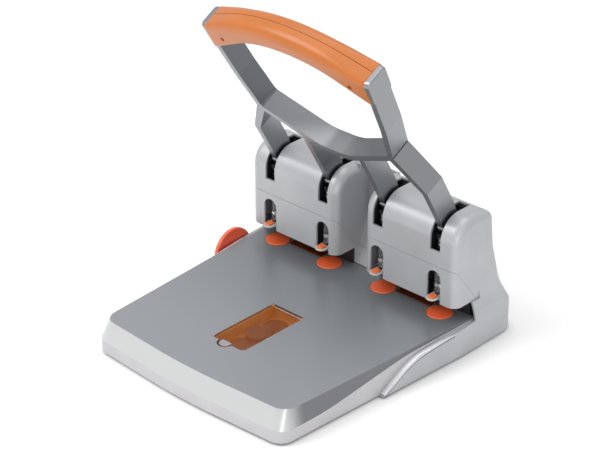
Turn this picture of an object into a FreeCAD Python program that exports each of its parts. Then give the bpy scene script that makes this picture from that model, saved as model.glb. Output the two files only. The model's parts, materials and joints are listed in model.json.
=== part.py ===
"""Heavy-duty lever punch for four holes, as a parametric FreeCAD document.

Row frame, in millimetres: X runs along the row of holes, -Y is the front edge of the paper
table, +Z is up.  The origin is the middle of the footprint on the desk.  The lever is drawn
upright in its own frame, with the hinge axis at the origin, and leaned forward when placed.
"""
import FreeCAD, Part
import os
import re

import Sketcher

DOC = FreeCAD.newDocument("lever_punch")

# Driving dimensions: alias, value in millimetres (angles in degrees).
SIZES = {
    # stance, shells and clearances
    "foot_height": 3.0,
    "bottom_sheet": 2.0,
    "wall": 2.5,
    "seam": 0.3,
    "moving_gap": 0.4,
    "running_gap": 0.05,
    "overcut": 2.0,
    # paper table, from above
    "table_height": 38.0,
    "plate_sheet": 3.0,
    "table_rear": 109.0,
    "table_bend": -20.0,
    "table_overhang": 2.6,
    "table_draw_bend": 9.6,
    "table_draw_front": 19.6,
    "table_corner": -163.0,
    "table_front": -171.5,
    "table_round": 17.0,
    # crease under the apron, where the table meets the lower shell
    "crease_overhang": 3.6,
    "crease_draw_bend": 8.6,
    "crease_draw_front": 16.6,
    "crease_corner": -173.0,
    "crease_front": -181.5,
    "crease_front_drop": 21.0,
    "crease_rise_start": -110.0,
    "crease_rise_end": 5.0,
    "crease_rise_drop": 4.5,
    "crease_rear_drop": 1.5,
    "crease_blend": 400.0,
    # punching stations
    "punch_line": 90.0,
    "hole_pitch": 80.0,
    "throat_height": 18.7,
    "stop_depth": 12.0,
    "stop_half": 24.0,
    "stop_sheet": 2.0,
    "stop_foot": 10.0,
    "stop_foot_sheet": 1.0,
    "liner_depth": 17.0,
    "liner_sheet": 2.0,
    # punch heads
    "head_inner": 20.0,
    "head_outer": 150.0,
    "head_front": 78.0,
    "head_parting": 118.0,
    "head_rise": 119.0,
    "head_brow": 27.0,
    "head_round": 11.0,
    "nose_seam_rise": 62.5,
    "nose_seam_back": 114.0,
    "nose_seam_flat": 3.0,
    "nose_seam_round": 6.0,
    "arch_half": 9.25,
    "arch_round": 9.2,
    "arch_rise": 56.0,
    "slot_half": 7.0,
    "slot_rise": 80.0,
    "slot_back": 125.0,
    # rear housing
    "roof_depth": 15.0,
    "neck_back": 138.0,
    "neck_rise": 75.0,
    "waist_back": 151.0,
    "waist_rise": 30.0,
    "shoulder_back": 163.0,
    "shoulder_rise": 3.0,
    "toe_height": 10.0,
    "rear_end": 180.0,
    "rear_round": 28.0,
    "roof_round": 8.0,
    "housing_blend": 60.0,
    "floor_overhang": 8.5,
    "flare_rise": 25.0,
    "flare_round": 60.0,
    "wing_front": -36.0,
    "wing_overhang": 1.0,
    "wing_knee": 12.0,
    "wing_knee_drop": 7.5,
    "wing_widest": 82.0,
    "cheek_front": 105.0,
    "gap_wall_foot": 110.0,
    "gap_wall_back": 132.5,
    "gap_wall_rise": 60.0,
    # frames inside the heads
    "frame_sheet": 4.0,
    "frame_side_gap": 5.0,
    "frame_neck": 112.0,
    "frame_back": 150.0,
    "frame_arm_low": 20.0,
    "frame_round": 4.0,
    "ear_half": 13.0,
    "ear_root_rise": 72.0,
    "spine_back": 137.0,
    "spine_knee_rise": 22.0,
    "beam_front": 81.0,
    "beam_back": 101.0,
    "beam_rise": 56.0,
    "beam_depth": 10.0,
    "beam_chamfer": 5.0,
    "flange_sheet": 4.0,
    "die_sheet": 4.0,
    "die_front": 74.0,
    "stripper_sheet": 2.0,
    "stripper_front": 84.0,
    # hinge and cam of the lever
    "pivot_y": 108.0,
    "pivot_rise": 94.0,
    "lean": 30.0,
    "swing": 56.0,
    "shaft_radius": 4.0,
    "crank": 20.0,
    "cam_radius": 5.0,
    "boss_radius": 9.5,
    "cam_gap": 0.5,
    "cam_heel_y": 14.0,
    "cam_heel_rise": 4.0,
    "cam_notch_y": 5.7,
    "cam_notch_z": 11.0,
    "cam_root_y": 4.75,
    "spacer_radius": 6.5,
    "clip_radius": 6.0,
    "clip_sheet": 0.8,
    # punches
    "tip_radius": 3.0,
    "tip_bore": 2.3,
    "tip_gap": 0.4,
    "shank_radius": 5.0,
    "shank_rise": 48.0,
    "chip_port": 7.0,
    "bore_roof": 2.0,
    "punch_head_radius": 7.5,
    "punch_head_height": 4.0,
    "punch_head_socket": 2.0,
    "bush_radius": 7.5,
    "bush_rise": 52.0,
    "bush_flange_radius": 8.6,
    "bush_flange": 2.0,
    "spring_radius": 6.6,
    "spring_wire": 0.5,
    "spring_turns": 5.0,
    # cutting discs and their store
    "disc_radius": 14.3,
    "disc_height": 4.2,
    "disc_proud": 0.8,
    "disc_spindle": 4.0,
    "disc_spindle_length": 3.0,
    "window_half_width": 22.6,
    "window_front": -111.0,
    "window_rear": -18.0,
    "window_round": 5.0,
    "notch_radius": 9.0,
    "notch_x": -3.5,
    "lid_sheet": 1.6,
    "lid_sink": 0.1,
    "lid_hinge_inset": 2.3,
    "lid_hinge_drop": 2.0,
    "lid_knuckle": 1.6,
    "lid_pin": 0.8,
    "lid_ear": 2.0,
    "lid_ear_top": 1.4,
    "lid_corner": 3.0,
    "lid_latch_half": 6.5,
    "lid_latch_reach": 6.5,
    "lid_latch_round": 6.0,
    "lid_latch_seat": 3.0,
    "lid_latch_sheet": 0.8,
    "well_drop": 16.0,
    "well_sheet": 1.5,
    "well_ledge": 2.0,
    "well_rim_end": -24.0,
    "spare_pitch": 25.0,
    # release tabs
    "tab_half": 6.5,
    "tab_front": 69.5,
    "tab_back": 97.0,
    "tab_sheet": 4.0,
    "tab_fork_half": 4.0,
    "tab_fork_front": 83.0,
    "tab_round": 6.0,
    "tab_fork_round": 3.5,
    "tab_insert_half": 3.6,
    "tab_insert_inset": 2.5,
    "tab_insert_low": 1.3,
    "tab_insert_height": 2.2,
    "rail_sheet": 1.5,
    # side paper guide
    "guide_y": 58.0,
    "guide_drop": 16.5,
    "guide_radius": 27.5,
    "guide_sheet": 4.5,
    "guide_lift": 1.5,
    "guide_stand_off": 0.6,
    "rod_radius": 3.0,
    "rod_length": 108.0,
    "sleeve_length": 60.0,
    "sleeve_half": 7.0,
    # chip drawer
    "drawer_half": 108.0,
    "drawer_front": 153.0,
    "drawer_low": 6.0,
    "drawer_drop": 6.0,
    # lever casting, in its own upright frame
    "band": 7.5,
    "band_depth": 26.0,
    "leg_root": 36.0,
    "leg_top": 95.0,
    "leg_round": 4.0,
    "leg_kink_outer": 77.0,
    "leg_kink_inner": 74.5,
    "elbow_outer_x": 97.0,
    "elbow_outer": 123.75,
    "elbow_inner_x": 88.4,
    "elbow_inner": 117.75,
    "loop_flat": 22.0,
    "loop_low": 84.0,
    "loop_low_round": 60.0,
    "loop_hip_x": 96.0,
    "loop_hip": 120.0,
    "loop_hip_round": 14.0,
    "loop_waist_x": 106.0,
    "loop_waist": 170.0,
    "loop_waist_round": 80.0,
    "loop_top_x": 115.0,
    "loop_top": 247.0,
    "loop_top_round": 10.0,
    "loop_crown": 276.0,
    "loop_crown_round": 300.0,
    # grip, in the lever's frame
    "grip_half": 111.0,
    "grip_low_end": 213.0,
    "grip_low_mid": 262.0,
    "grip_low_bend": 170.0,
    "grip_top_end": 248.0,
    "grip_top_mid": 293.0,
    "grip_top_bend": 220.0,
    "grip_front": 15.0,
    "grip_parting": 2.0,
    "grip_round": 9.0,
    "grip_screw_x": 88.0,
    "grip_screw_end": 236.0,
    "grip_screw_mid": 252.0,
    "grip_screw_head": 2.5,
    "screw_sink": 2.5,
    # fasteners and feet
    "screw_radius": 1.75,
    "screw_head": 3.5,
    "screw_head_height": 1.8,
    "screw_length": 12.0,
    "bolt_radius": 2.5,
    "bolt_head": 4.5,
    "bolt_length": 8.0,
    "bolt_inset": 12.0,
    "boss_wall": 2.75,
    "screw_inset": 14.0,
    "screw_row_front": -139.0,
    "screw_row_rear": 34.0,
    "foot_radius": 9.0,
    "foot_inset": 18.0,
}

# Places that follow from the sizes: heights from the table, widths from the heads.
PLACES = {
    "crease_height": "table_height - crease_front_drop",
    "crease_rise_height": "table_height - crease_rise_drop",
    "crease_rear_height": "table_height - crease_rear_drop",
    "wing_knee_height": "table_height - wing_knee_drop",
    "shoulder_height": "table_height + shoulder_rise",
    "waist_height": "table_height + waist_rise",
    "neck_height": "table_height + neck_rise",
    "flare_height": "table_height + flare_rise",
    "head_top": "table_height + head_rise",
    "nose_seam_height": "table_height + nose_seam_rise",
    "arch_top": "table_height + arch_rise",
    "slot_bottom": "table_height + slot_rise",
    "gap_wall_break": "table_height + gap_wall_rise",
    "ear_root": "table_height + ear_root_rise",
    "spine_knee": "table_height + spine_knee_rise",
    "beam_bottom": "table_height + beam_rise",
    "beam_top": "beam_bottom + beam_depth",
    "pivot_z": "table_height + pivot_rise",
    "shank_bottom": "table_height + shank_rise",
    "bush_bottom": "table_height + bush_rise",
    "well_floor": "table_height - well_drop",
    "guide_z": "table_height - guide_drop",
    "drawer_top": "table_height - drawer_drop",
    "table_half_rear": "head_outer + table_overhang",
    "table_half_bend": "table_half_rear - table_draw_bend",
    "table_half_front": "table_half_rear - table_draw_front",
    "crease_half_rear": "head_outer + crease_overhang",
    "crease_half_bend": "crease_half_rear - crease_draw_bend",
    "crease_half_front": "crease_half_rear - crease_draw_front",
    "floor_half": "head_outer + floor_overhang",
    "wing_half_front": "head_outer + wing_overhang",
    "roof_back": "head_parting + roof_depth",
}

SHEET = DOC.addObject("Spreadsheet::Sheet", "sizes")
for row, (alias, value) in enumerate(SIZES.items(), start=1):
    SHEET.set(f"A{row}", alias.replace("_", " "))
    SHEET.set(f"B{row}", str(value))
    SHEET.setAlias(f"B{row}", alias)
DOC.recompute()

NODES = {}
TOLERANCE = 1e-4
WORD = re.compile(r"\b[a-z][a-z_]*\b")


# ---------------------------------------------------------------- expressions
def written(name):
    """Return one name as the sheet knows it: a place spelled out, a size with its sheet."""
    if name in PLACES:
        return f"({formula(PLACES[name])})"
    return f"sizes.{name}" if name in SIZES else name


def formula(text):
    """Return an expression in which every name is written as the sheet knows it."""
    return WORD.sub(lambda found: written(found[0]), str(text))


def amount(text):
    """Return what an expression comes to now, in millimetres."""
    return float(SHEET.evalExpression(formula(text)))


def bind(thing, prop, text):
    """Bind one property to an expression of the sheet."""
    thing.setExpression(prop, formula(text))


def publish(thing, label):
    """Name a finished sub-part; the label is also its file name."""
    thing.Label = label
    NODES[label] = thing
    return thing


# Heights that several pieces share.
TABLE = "table_height"
THROAT_TOP = "(table_height + throat_height)"
FLOOR = "foot_height"
INSIDE_FLOOR = "(foot_height + bottom_sheet)"
UNDER_PLATE = "(table_height - plate_sheet)"
DISC_TOP = "(table_height + disc_proud)"
DIE_TOP = "(table_height + disc_proud - disc_height - 2 * running_gap)"
STROKE = "(2 * crank * sin(swing / 2))"
PUNCH_TOP = "(pivot_z + crank * sin(swing / 2) - cam_radius - cam_gap)"
PUNCH_SHOULDER = f"({PUNCH_TOP} - punch_head_height)"
TIP = f"({DISC_TOP} + tip_gap + {STROKE})"
STRIPPER_TOP = f"({THROAT_TOP} + stripper_sheet)"
TAB_BOTTOM = f"({STRIPPER_TOP} + moving_gap)"
LID_TOP = "(table_height - lid_sink)"
LID_BOTTOM = f"({LID_TOP} - lid_sheet)"
LID_HINGE_Y = "(window_rear - lid_hinge_inset)"
LID_HINGE_Z = "(table_height - lid_hinge_drop)"
STATIONS = ("-1.5 * hole_pitch", "-0.5 * hole_pitch", "0.5 * hole_pitch", "1.5 * hole_pitch")


# ---------------------------------------------------------------- sketches and features
def new_body(name):
    """Start a PartDesign body."""
    return DOC.addObject("PartDesign::Body", name)


def new_sketch(body, plane, offset):
    """Attach a sketch to one of the body's own origin planes, moved along its normal."""
    sketch = body.newObject("Sketcher::SketchObject", f"{body.Name}_sketch")
    origin = next(item for item in body.Origin.OriginFeatures if item.Role == f"{plane}_Plane")
    sketch.AttachmentSupport = (origin, [""])
    sketch.MapMode = "FlatFace"
    bind(sketch, "AttachmentOffset.Base.z", offset)
    return sketch


def place_point(sketch, geometry, end, across, up):
    """Tie a point of the sketch to two expressions."""
    for kind, text, axis in (("DistanceX", across, -2), ("DistanceY", up, -1)):
        if text == "0":
            sketch.addConstraint(Sketcher.Constraint("PointOnObject", geometry, end, axis))
            continue
        rule = Sketcher.Constraint(kind, -1, 1, geometry, end, amount(text))
        bind(sketch, f"Constraints[{sketch.addConstraint(rule)}]", text)


def draw_polygon(sketch, corners):
    """Draw a closed outline; a corner is (across, up) or (across, up, radius)."""
    first = sketch.GeometryCount
    points = [FreeCAD.Vector(amount(corner[0]), amount(corner[1]), 0) for corner in corners]
    count = len(points)
    for index in range(count):
        sketch.addGeometry(Part.LineSegment(points[index], points[(index + 1) % count]))
    for index in range(count):
        following = first + (index + 1) % count
        sketch.addConstraint(Sketcher.Constraint("Coincident", first + index, 2, following, 1))
    for index, corner in enumerate(corners):
        place_point(sketch, first + index, 1, corner[0], corner[1])
    for index, corner in enumerate(corners):
        if len(corner) == 3:
            radius = amount(corner[2])
            arc = sketch.GeometryCount
            sketch.fillet(first + index, 1, radius, True, True)
            rule = Sketcher.Constraint("Radius", arc, radius)
            bind(sketch, f"Constraints[{sketch.addConstraint(rule)}]", corner[2])


def draw_circle(sketch, centre, radius):
    """Draw one circle tied to the sheet."""
    across, up = centre
    middle = FreeCAD.Vector(amount(across), amount(up), 0)
    circle = Part.Circle(middle, FreeCAD.Vector(0, 0, 1), amount(radius))
    geometry = sketch.addGeometry(circle)
    place_point(sketch, geometry, 3, across, up)
    rule = Sketcher.Constraint("Radius", geometry, amount(radius))
    bind(sketch, f"Constraints[{sketch.addConstraint(rule)}]", radius)


def add_feature(body, kind, label):
    """Add a feature after the body's tip; return it with the volume so far."""
    before = body.Tip.Shape.Volume if body.Tip else 0.0
    feature = body.newObject(f"PartDesign::{kind}", f"{body.Name}_{label}")
    return feature, before


def check_change(feature, before, smaller):
    """Stop when a feature added or removed nothing."""
    DOC.recompute()
    change = feature.Shape.Volume - before
    if (change > -TOLERANCE) if smaller else (change < TOLERANCE):
        raise ValueError(f"{feature.Name} changed nothing")


def extrude(body, plane, low, high, outlines=(), circles=(), cut=False):
    """Pad or pocket outlines between two coordinates along the plane's axis."""
    along = plane != "XZ"
    if cut:
        offset = high if along else f"-({low})"
    else:
        offset = low if along else f"-({high})"
    feature, before = add_feature(body, "Pocket" if cut else "Pad", "cut" if cut else "pad")
    sketch = new_sketch(body, plane, offset)
    for corners in outlines:
        draw_polygon(sketch, corners)
    for centre, radius in circles:
        draw_circle(sketch, centre, radius)
    feature.Profile = sketch
    bind(feature, "Length", f"({high}) - ({low})")
    body.Tip = feature
    check_change(feature, before, cut)
    return feature


def carve(body, plane, low, high, outlines=(), circles=()):
    """Pocket outlines between two coordinates."""
    return extrude(body, plane, low, high, outlines, circles, cut=True)


def loft(body, sections, cut=False):
    """Join outlines at several heights by a ruled loft."""
    kind = "SubtractiveLoft" if cut else "AdditiveLoft"
    feature, before = add_feature(body, kind, "loft")
    sketches = []
    for height, corners in sections:
        sketch = new_sketch(body, "XY", height)
        draw_polygon(sketch, corners)
        sketches.append(sketch)
    feature.Profile = sketches[0]
    feature.Sections = sketches[1:]
    feature.Ruled = True
    body.Tip = feature
    check_change(feature, before, cut)
    return feature


def edges_at(shape, **where):
    """Names of the edges whose ends and middle all have the given coordinates."""
    names = []
    for index, edge in enumerate(shape.Edges, start=1):
        middle = edge.valueAt((edge.FirstParameter + edge.LastParameter) / 2)
        points = [vertex.Point for vertex in edge.Vertexes] + [middle]
        if all(abs(getattr(point, axis) - amount(text)) < TOLERANCE
               for point in points for axis, text in where.items()):
            names.append(f"Edge{index}")
    return names


def faces_at(shape, **where):
    """Names of the faces that lie flat at the given coordinate."""
    names = []
    for index, face in enumerate(shape.Faces, start=1):
        box = face.BoundBox
        for axis, text in where.items():
            low = getattr(box, f"{axis.upper()}Min")
            high = getattr(box, f"{axis.upper()}Max")
            if abs(low - amount(text)) < TOLERANCE and abs(high - amount(text)) < TOLERANCE:
                names.append(f"Face{index}")
    return names


def round_edges(body, edges, radius):
    """Round the named edges of the body's tip."""
    base = body.Tip
    feature = body.newObject("PartDesign::Fillet", f"{body.Name}_round")
    feature.Base = (base, edges)
    bind(feature, "Radius", radius)
    body.Tip = feature
    DOC.recompute()
    return feature


def hollow(body, faces, wall):
    """Leave an inward wall and open the named faces."""
    base = body.Tip
    feature = body.newObject("PartDesign::Thickness", f"{body.Name}_hollow")
    feature.Base = (base, faces)
    bind(feature, "Value", wall)
    feature.Reversed = True
    body.Tip = feature
    DOC.recompute()
    return feature


def repeat_along_row(body, features):
    """Repeat features of the first station at the other stations."""
    pattern = body.newObject("PartDesign::LinearPattern", f"{body.Name}_row")
    pattern.Originals = features
    x_axis = next(item for item in body.Origin.OriginFeatures if item.Role == "X_Axis")
    pattern.Direction = (x_axis, [""])
    bind(pattern, "Length", "3 * hole_pitch")
    pattern.Occurrences = len(STATIONS)
    before = body.Tip.Shape.Volume
    body.Tip = pattern
    check_change(pattern, before, smaller=False)
    return pattern


# ---------------------------------------------------------------- primitives and booleans
def block(name, x, y, z):
    """Make a box from its bounds along each axis."""
    box = DOC.addObject("Part::Box", name)
    for prop, axis, (low, high) in (("Length", "x", x), ("Width", "y", y), ("Height", "z", z)):
        bind(box, prop, f"({high}) - ({low})")
        bind(box, f"Placement.Base.{axis}", low)
    return box


TURNS = {
    "x": (FreeCAD.Rotation(FreeCAD.Vector(0, 1, 0), 90), ("y", "z")),
    "y": (FreeCAD.Rotation(FreeCAD.Vector(1, 0, 0), -90), ("x", "z")),
    "z": (FreeCAD.Rotation(), ("x", "y")),
}


def rod(name, axis, centre, radius, span):
    """Make a cylinder along an axis between two coordinates."""
    turn, others = TURNS[axis]
    cylinder = DOC.addObject("Part::Cylinder", name)
    cylinder.Placement.Rotation = turn
    bind(cylinder, "Radius", radius)
    bind(cylinder, "Height", f"({span[1]}) - ({span[0]})")
    bind(cylinder, f"Placement.Base.{axis}", span[0])
    for other, text in zip(others, centre):
        bind(cylinder, f"Placement.Base.{other}", text)
    return cylinder


def fuse(name, pieces):
    """Join several pieces."""
    joined = DOC.addObject("Part::MultiFuse", name)
    joined.Shapes = pieces
    joined.Refine = True
    return joined


def subtract(name, base, tool):
    """Cut one piece from another."""
    result = DOC.addObject("Part::Cut", name)
    result.Base = base
    result.Tool = tool
    return result


def group(name, pieces):
    """Keep separate solids together in one sub-part."""
    compound = DOC.addObject("Part::Compound", name)
    compound.Links = pieces
    return compound


def mirror(name, source):
    """Mirror a piece to the other side of the middle plane."""
    copy = DOC.addObject("Part::Mirroring", name)
    copy.Source = source
    copy.Normal = FreeCAD.Vector(1, 0, 0)
    return copy


def lean_forward(thing):
    """Carry a piece from the lever's own frame to its place on the hinge."""
    thing.Placement.Rotation = FreeCAD.Rotation(FreeCAD.Vector(1, 0, 0), amount("lean"))
    bind(thing, "Placement.Rotation.Angle", "lean")
    bind(thing, "Placement.Base.y", "pivot_y")
    bind(thing, "Placement.Base.z", "pivot_z")
    return thing


# ---------------------------------------------------------------- shared outlines
def table_outline(inset="0", rear="table_rear"):
    """Outline of the table's top face, or a copy drawn in by an inset."""
    return plan_outline("table", inset, rear)


def crease_outline(inset="0", rear="table_rear"):
    """Outline of the crease below the apron, or a copy drawn in by an inset."""
    return plan_outline("crease", inset, rear)


def plan_outline(stem, inset, rear):
    """Outline in plan with a bowed front, round front corners and bent sides."""
    half_rear = f"{stem}_half_rear - ({inset})"
    half_bend = f"{stem}_half_bend - ({inset})"
    half_front = f"{stem}_half_front - ({inset})"
    corner = f"{stem}_corner + ({inset})"
    front = f"{stem}_front + ({inset})"
    corner_round = f"table_round - ({inset})"
    return [
        (half_rear, rear),
        (f"-({half_rear})", rear),
        (f"-({half_bend})", "table_bend", "crease_blend"),
        (f"-({half_front})", corner, corner_round),
        ("0", front, "2 * crease_blend"),
        (half_front, corner, corner_round),
        (half_bend, "table_bend", "crease_blend"),
    ]


def crest_line(closing_height):
    """Side view of the region between the crease line and a closing height."""
    return [
        ("crease_front - overcut", "crease_height"),
        ("crease_rise_start", "crease_height", "crease_blend"),
        ("crease_rise_end", "crease_rise_height", "crease_blend"),
        ("table_rear + overcut", "crease_rear_height"),
        ("table_rear + overcut", closing_height),
        ("crease_front - overcut", closing_height),
    ]


def box_outline(low_across, high_across, low_up, high_up):
    """Four corners of a rectangle."""
    return [
        (low_across, low_up),
        (high_across, low_up),
        (high_across, high_up),
        (low_across, high_up),
    ]


# ---------------------------------------------------------------- base and table
TABLE_SCREWS = [
    (f"{side} * {x}", y)
    for x, y in (("(crease_half_front - screw_inset)", "screw_row_front"),
                 ("(crease_half_bend - screw_inset)", "table_bend"),
                 ("(crease_half_bend - 2 * screw_inset)", "screw_row_rear"))
    for side in (-1, 1)
]
HOUSING_SCREWS = [
    (f"{side} * (head_outer + overcut)", y)
    for y in ("table_rear + bolt_inset", "rear_end - rear_round")
    for side in (-1, 1)
]


def make_bottom_cover():
    """Flat sheet that closes the base from below, drilled for every screw."""
    body = new_body("bottom_sheet_body")
    inset = "wall + 2 * seam"
    corners = crease_outline(inset)
    narrow = f"crease_half_rear - ({inset})"
    wide = f"floor_half - ({inset})"
    step = "table_rear + seam"
    rear = f"rear_end - ({inset})"
    corners[0:2] = [
        (narrow, step),
        (wide, step),
        (wide, rear, "rear_round"),
        (f"-({wide})", rear, "rear_round"),
        (f"-({wide})", step),
        (f"-({narrow})", step),
    ]
    extrude(body, "XY", FLOOR, INSIDE_FLOOR, [corners])
    holes = [((x, y), "screw_radius") for x, y in TABLE_SCREWS + HOUSING_SCREWS]
    holes += [((x, y), "bolt_radius") for x, y in frame_bolt_places()]
    carve(body, "XY", FLOOR, INSIDE_FLOOR, circles=holes)
    publish(body, "bottom_cover")


def make_base_shell():
    """Lower band of the base: a ring of wall that ends in the rising crease line."""
    body = new_body("base_shell_body")
    extrude(body, "XY", FLOOR, TABLE, [crease_outline()])
    carve(body, "XY", FLOOR, TABLE, [crease_outline("wall", "table_rear + overcut")])
    reach = "crease_half_rear + overcut"
    carve(body, "YZ", f"-({reach})", reach, [crest_line("table_height + overcut")])
    carve(body, "YZ", f"-({reach})", "-(crease_half_front)",
          circles=[(("guide_y", "guide_z"), "rod_radius + moving_gap")])
    publish(body, "base_shell")


def make_table_top():
    """Paper table with its sloping apron, screw bosses and openings."""
    body = new_body("table_top_body")
    loft(body, [(TABLE, table_outline()), ("crease_height", crease_outline())])
    open_rear = "table_rear + overcut"
    loft(body, [(UNDER_PLATE, table_outline("wall", open_rear)),
                ("crease_height", crease_outline("wall", open_rear))], cut=True)
    reach = "crease_half_rear + overcut"
    carve(body, "YZ", f"-({reach})", reach, [crest_line("foot_height")])
    extrude(body, "XY", INSIDE_FLOOR, UNDER_PLATE,
            circles=[(place, "screw_radius + boss_wall") for place in TABLE_SCREWS])
    carve(body, "XY", INSIDE_FLOOR, f"{INSIDE_FLOOR} + screw_length",
          circles=[(place, "screw_radius") for place in TABLE_SCREWS])
    carve(body, "XY", UNDER_PLATE, TABLE,
          circles=[((x, "punch_line"), "disc_radius + moving_gap") for x in STATIONS])
    half = "window_half_width"
    window = [
        (f"-({half})", "window_front", "window_round"),
        (half, "window_front", "window_round"),
        (half, "window_rear"),
        (f"-({half})", "window_rear"),
    ]
    carve(body, "XY", UNDER_PLATE, TABLE, [window])
    carve(body, "XY", UNDER_PLATE, TABLE, circles=[(("notch_x", "window_front"), "notch_radius")])
    publish(body, "table_top")


def make_feet():
    """Four rubber pads under the base."""
    places = [
        (f"{side} * (crease_half_front - foot_inset)", "crease_corner + foot_inset")
        for side in (-1, 1)
    ]
    places += [
        (f"{side} * (head_outer - foot_inset)", "rear_end - rear_round")
        for side in (-1, 1)
    ]
    pads = [rod("pad", "z", place, "foot_radius", ("0", FLOOR)) for place in places]
    publish(group("pads", pads), "rubber_feet")


def screw_from_below(name, place, radius, head, length):
    """Make a pan-head screw that enters the base from below."""
    shank = rod(f"{name}_shank", "z", place, radius, (FLOOR, f"foot_height + {length}"))
    cap = rod(f"{name}_head", "z", place, head, ("foot_height - screw_head_height", FLOOR))
    return fuse(name, [shank, cap])


def make_base_screws():
    """Screws that hold the table and the rear housing to the bottom cover."""
    screws = [
        screw_from_below("base_screw", place, "screw_radius", "screw_head", "screw_length")
        for place in TABLE_SCREWS + HOUSING_SCREWS
    ]
    publish(group("screws", screws), "base_screws")


# ---------------------------------------------------------------- rear housing
def housing_block(name, inset, past):
    """Solid form of the rear housing, drawn in by an inset and run past its open faces."""
    body = new_body(name)
    low = f"foot_height - ({past})"
    cheek = f"cheek_front - ({past})"
    parting = f"head_parting - ({past})"
    side = [
        (parting, f"head_top - ({inset})"),
        (f"roof_back - ({inset})", f"head_top - ({inset})", f"roof_round - ({inset})"),
        (f"neck_back - ({inset})", "neck_height", "housing_blend"),
        (f"waist_back - ({inset})", "waist_height", "housing_blend"),
        (f"shoulder_back - ({inset})", "shoulder_height"),
        (f"rear_end - ({inset})", "toe_height"),
        (f"rear_end - ({inset})", low),
        (f"wing_front + ({inset})", low),
        (f"wing_knee + ({inset})", f"wing_knee_height - ({inset})", "housing_blend"),
        (cheek, f"crease_rear_height - ({inset})"),
        (cheek, THROAT_TOP),
        (parting, THROAT_TOP),
    ]
    half = f"floor_half - ({inset})"
    extrude(body, "YZ", f"-({half})", half, [side])
    margin = "floor_half + overcut"
    plan = [
        (f"-(wing_half_front - ({inset}))", "wing_front - overcut"),
        (f"wing_half_front - ({inset})", "wing_front - overcut"),
        (half, "wing_widest", "crease_blend"),
        (half, f"rear_end - ({inset})", f"rear_round - ({inset})"),
        (f"-({half})", f"rear_end - ({inset})", f"rear_round - ({inset})"),
        (f"-({half})", "wing_widest", "crease_blend"),
    ]
    frame = box_outline(f"-({margin})", margin, "wing_front - 2 * overcut", "rear_end + overcut")
    carve(body, "XY", low, "head_top", [frame, plan])
    flat = f"head_outer - ({inset})"
    front = [
        (f"-({half})", f"{low} - overcut"),
        (half, f"{low} - overcut"),
        (half, TABLE, "flare_round"),
        (flat, "flare_height", "flare_round"),
        (flat, f"head_top - ({inset})", f"head_round - ({inset})"),
        (f"-({flat})", f"head_top - ({inset})", f"head_round - ({inset})"),
        (f"-({flat})", "flare_height", "flare_round"),
        (f"-({half})", TABLE, "flare_round"),
    ]
    frame = box_outline(f"-({margin})", margin, f"{low} - 2 * overcut", "head_top + overcut")
    carve(body, "XZ", "wing_front - overcut", "rear_end + overcut", [frame, front])
    return body


def make_rear_housing():
    """Rear cover with wings along the base, roof slots, gap wall and drawer opening."""
    shell = subtract("housing_shell", housing_block("housing_outer", "0", "0"),
                     housing_block("housing_inner", "wall", "overcut"))
    channel = new_body("gap_channel")
    behind = [
        ("gap_wall_foot", TABLE),
        ("gap_wall_foot + wall", TABLE),
        ("gap_wall_back + wall", "gap_wall_break"),
        ("gap_wall_back + wall", "head_top - wall / 2"),
        ("head_parting", "head_top - wall / 2"),
        ("head_parting", THROAT_TOP),
        ("gap_wall_foot", THROAT_TOP),
    ]
    extrude(channel, "YZ", "-(head_inner + wall)", "head_inner + wall", [behind])
    opening = [
        ("cheek_front", "table_height - overcut"),
        ("gap_wall_foot", "table_height - overcut"),
        ("gap_wall_foot", TABLE),
        ("gap_wall_back", "gap_wall_break"),
        ("gap_wall_back", "head_top + overcut"),
        ("cheek_front", "head_top + overcut"),
    ]
    carve(channel, "YZ", "-head_inner", "head_inner", [opening])
    notch = block("roof_notch", ("-head_inner", "head_inner"),
                  ("head_parting - overcut", "gap_wall_back"),
                  ("gap_wall_break", "head_top + overcut"))
    joined = fuse("housing_joined", [subtract("housing_open", shell, notch), channel])
    posts = [
        rod("housing_post", "z", place, "screw_radius + boss_wall", (INSIDE_FLOOR, TABLE))
        for place in HOUSING_SCREWS
    ]
    solid = fuse("housing_posts", [joined] + posts)
    tools = [
        rod("post_bore", "z", place, "screw_radius",
            (INSIDE_FLOOR, f"{INSIDE_FLOOR} + screw_length"))
        for place in HOUSING_SCREWS
    ]
    tools += [
        block("roof_slot", (f"{x} - slot_half", f"{x} + slot_half"),
              ("head_parting - overcut", "slot_back"),
              ("head_top - 2 * wall", "head_top + overcut"))
        for x in STATIONS
    ]
    tools.append(rod("wing_bore", "x", ("guide_y", "guide_z"), "rod_radius + moving_gap",
                     ("-(floor_half + overcut)", "-crease_half_bend")))
    opening_half = "drawer_half + moving_gap"
    tools.append(block("drawer_mouth", (f"-({opening_half})", opening_half),
                       ("drawer_front", "rear_end + overcut"),
                       ("drawer_low - moving_gap", "drawer_top + moving_gap")))
    envelope = new_body("base_envelope")
    extrude(envelope, "XY", "0", "table_height + seam", [crease_outline("-seam")])
    tools.append(envelope)
    housing = subtract("housing", solid, fuse("housing_tools", tools))
    publish(housing, "rear_housing")


# ---------------------------------------------------------------- punch heads
def head_shell(body):
    """Hollow head with a rolled brow, open below and behind."""
    side = box_outline("head_front", "head_parting", THROAT_TOP, "head_top")
    side[3] = ("head_front", "head_top", "head_brow")
    extrude(body, "YZ", "head_inner", "head_outer", [side])
    shape = body.Shape
    rims = []
    for side_x in ("head_inner", "head_outer"):
        for name in edges_at(shape, x=side_x):
            edge = shape.getElement(name)
            box = edge.BoundBox
            low_edge = box.ZMax - amount(THROAT_TOP) < 1e-4
            back_edge = box.YMin - amount("head_parting") > -1e-4
            if not (low_edge or back_edge):
                rims.append(name)
    round_edges(body, rims, "head_round")
    open_faces = faces_at(body.Shape, y="head_parting") + faces_at(body.Shape, z=THROAT_TOP)
    hollow(body, open_faces, "wall")


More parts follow.
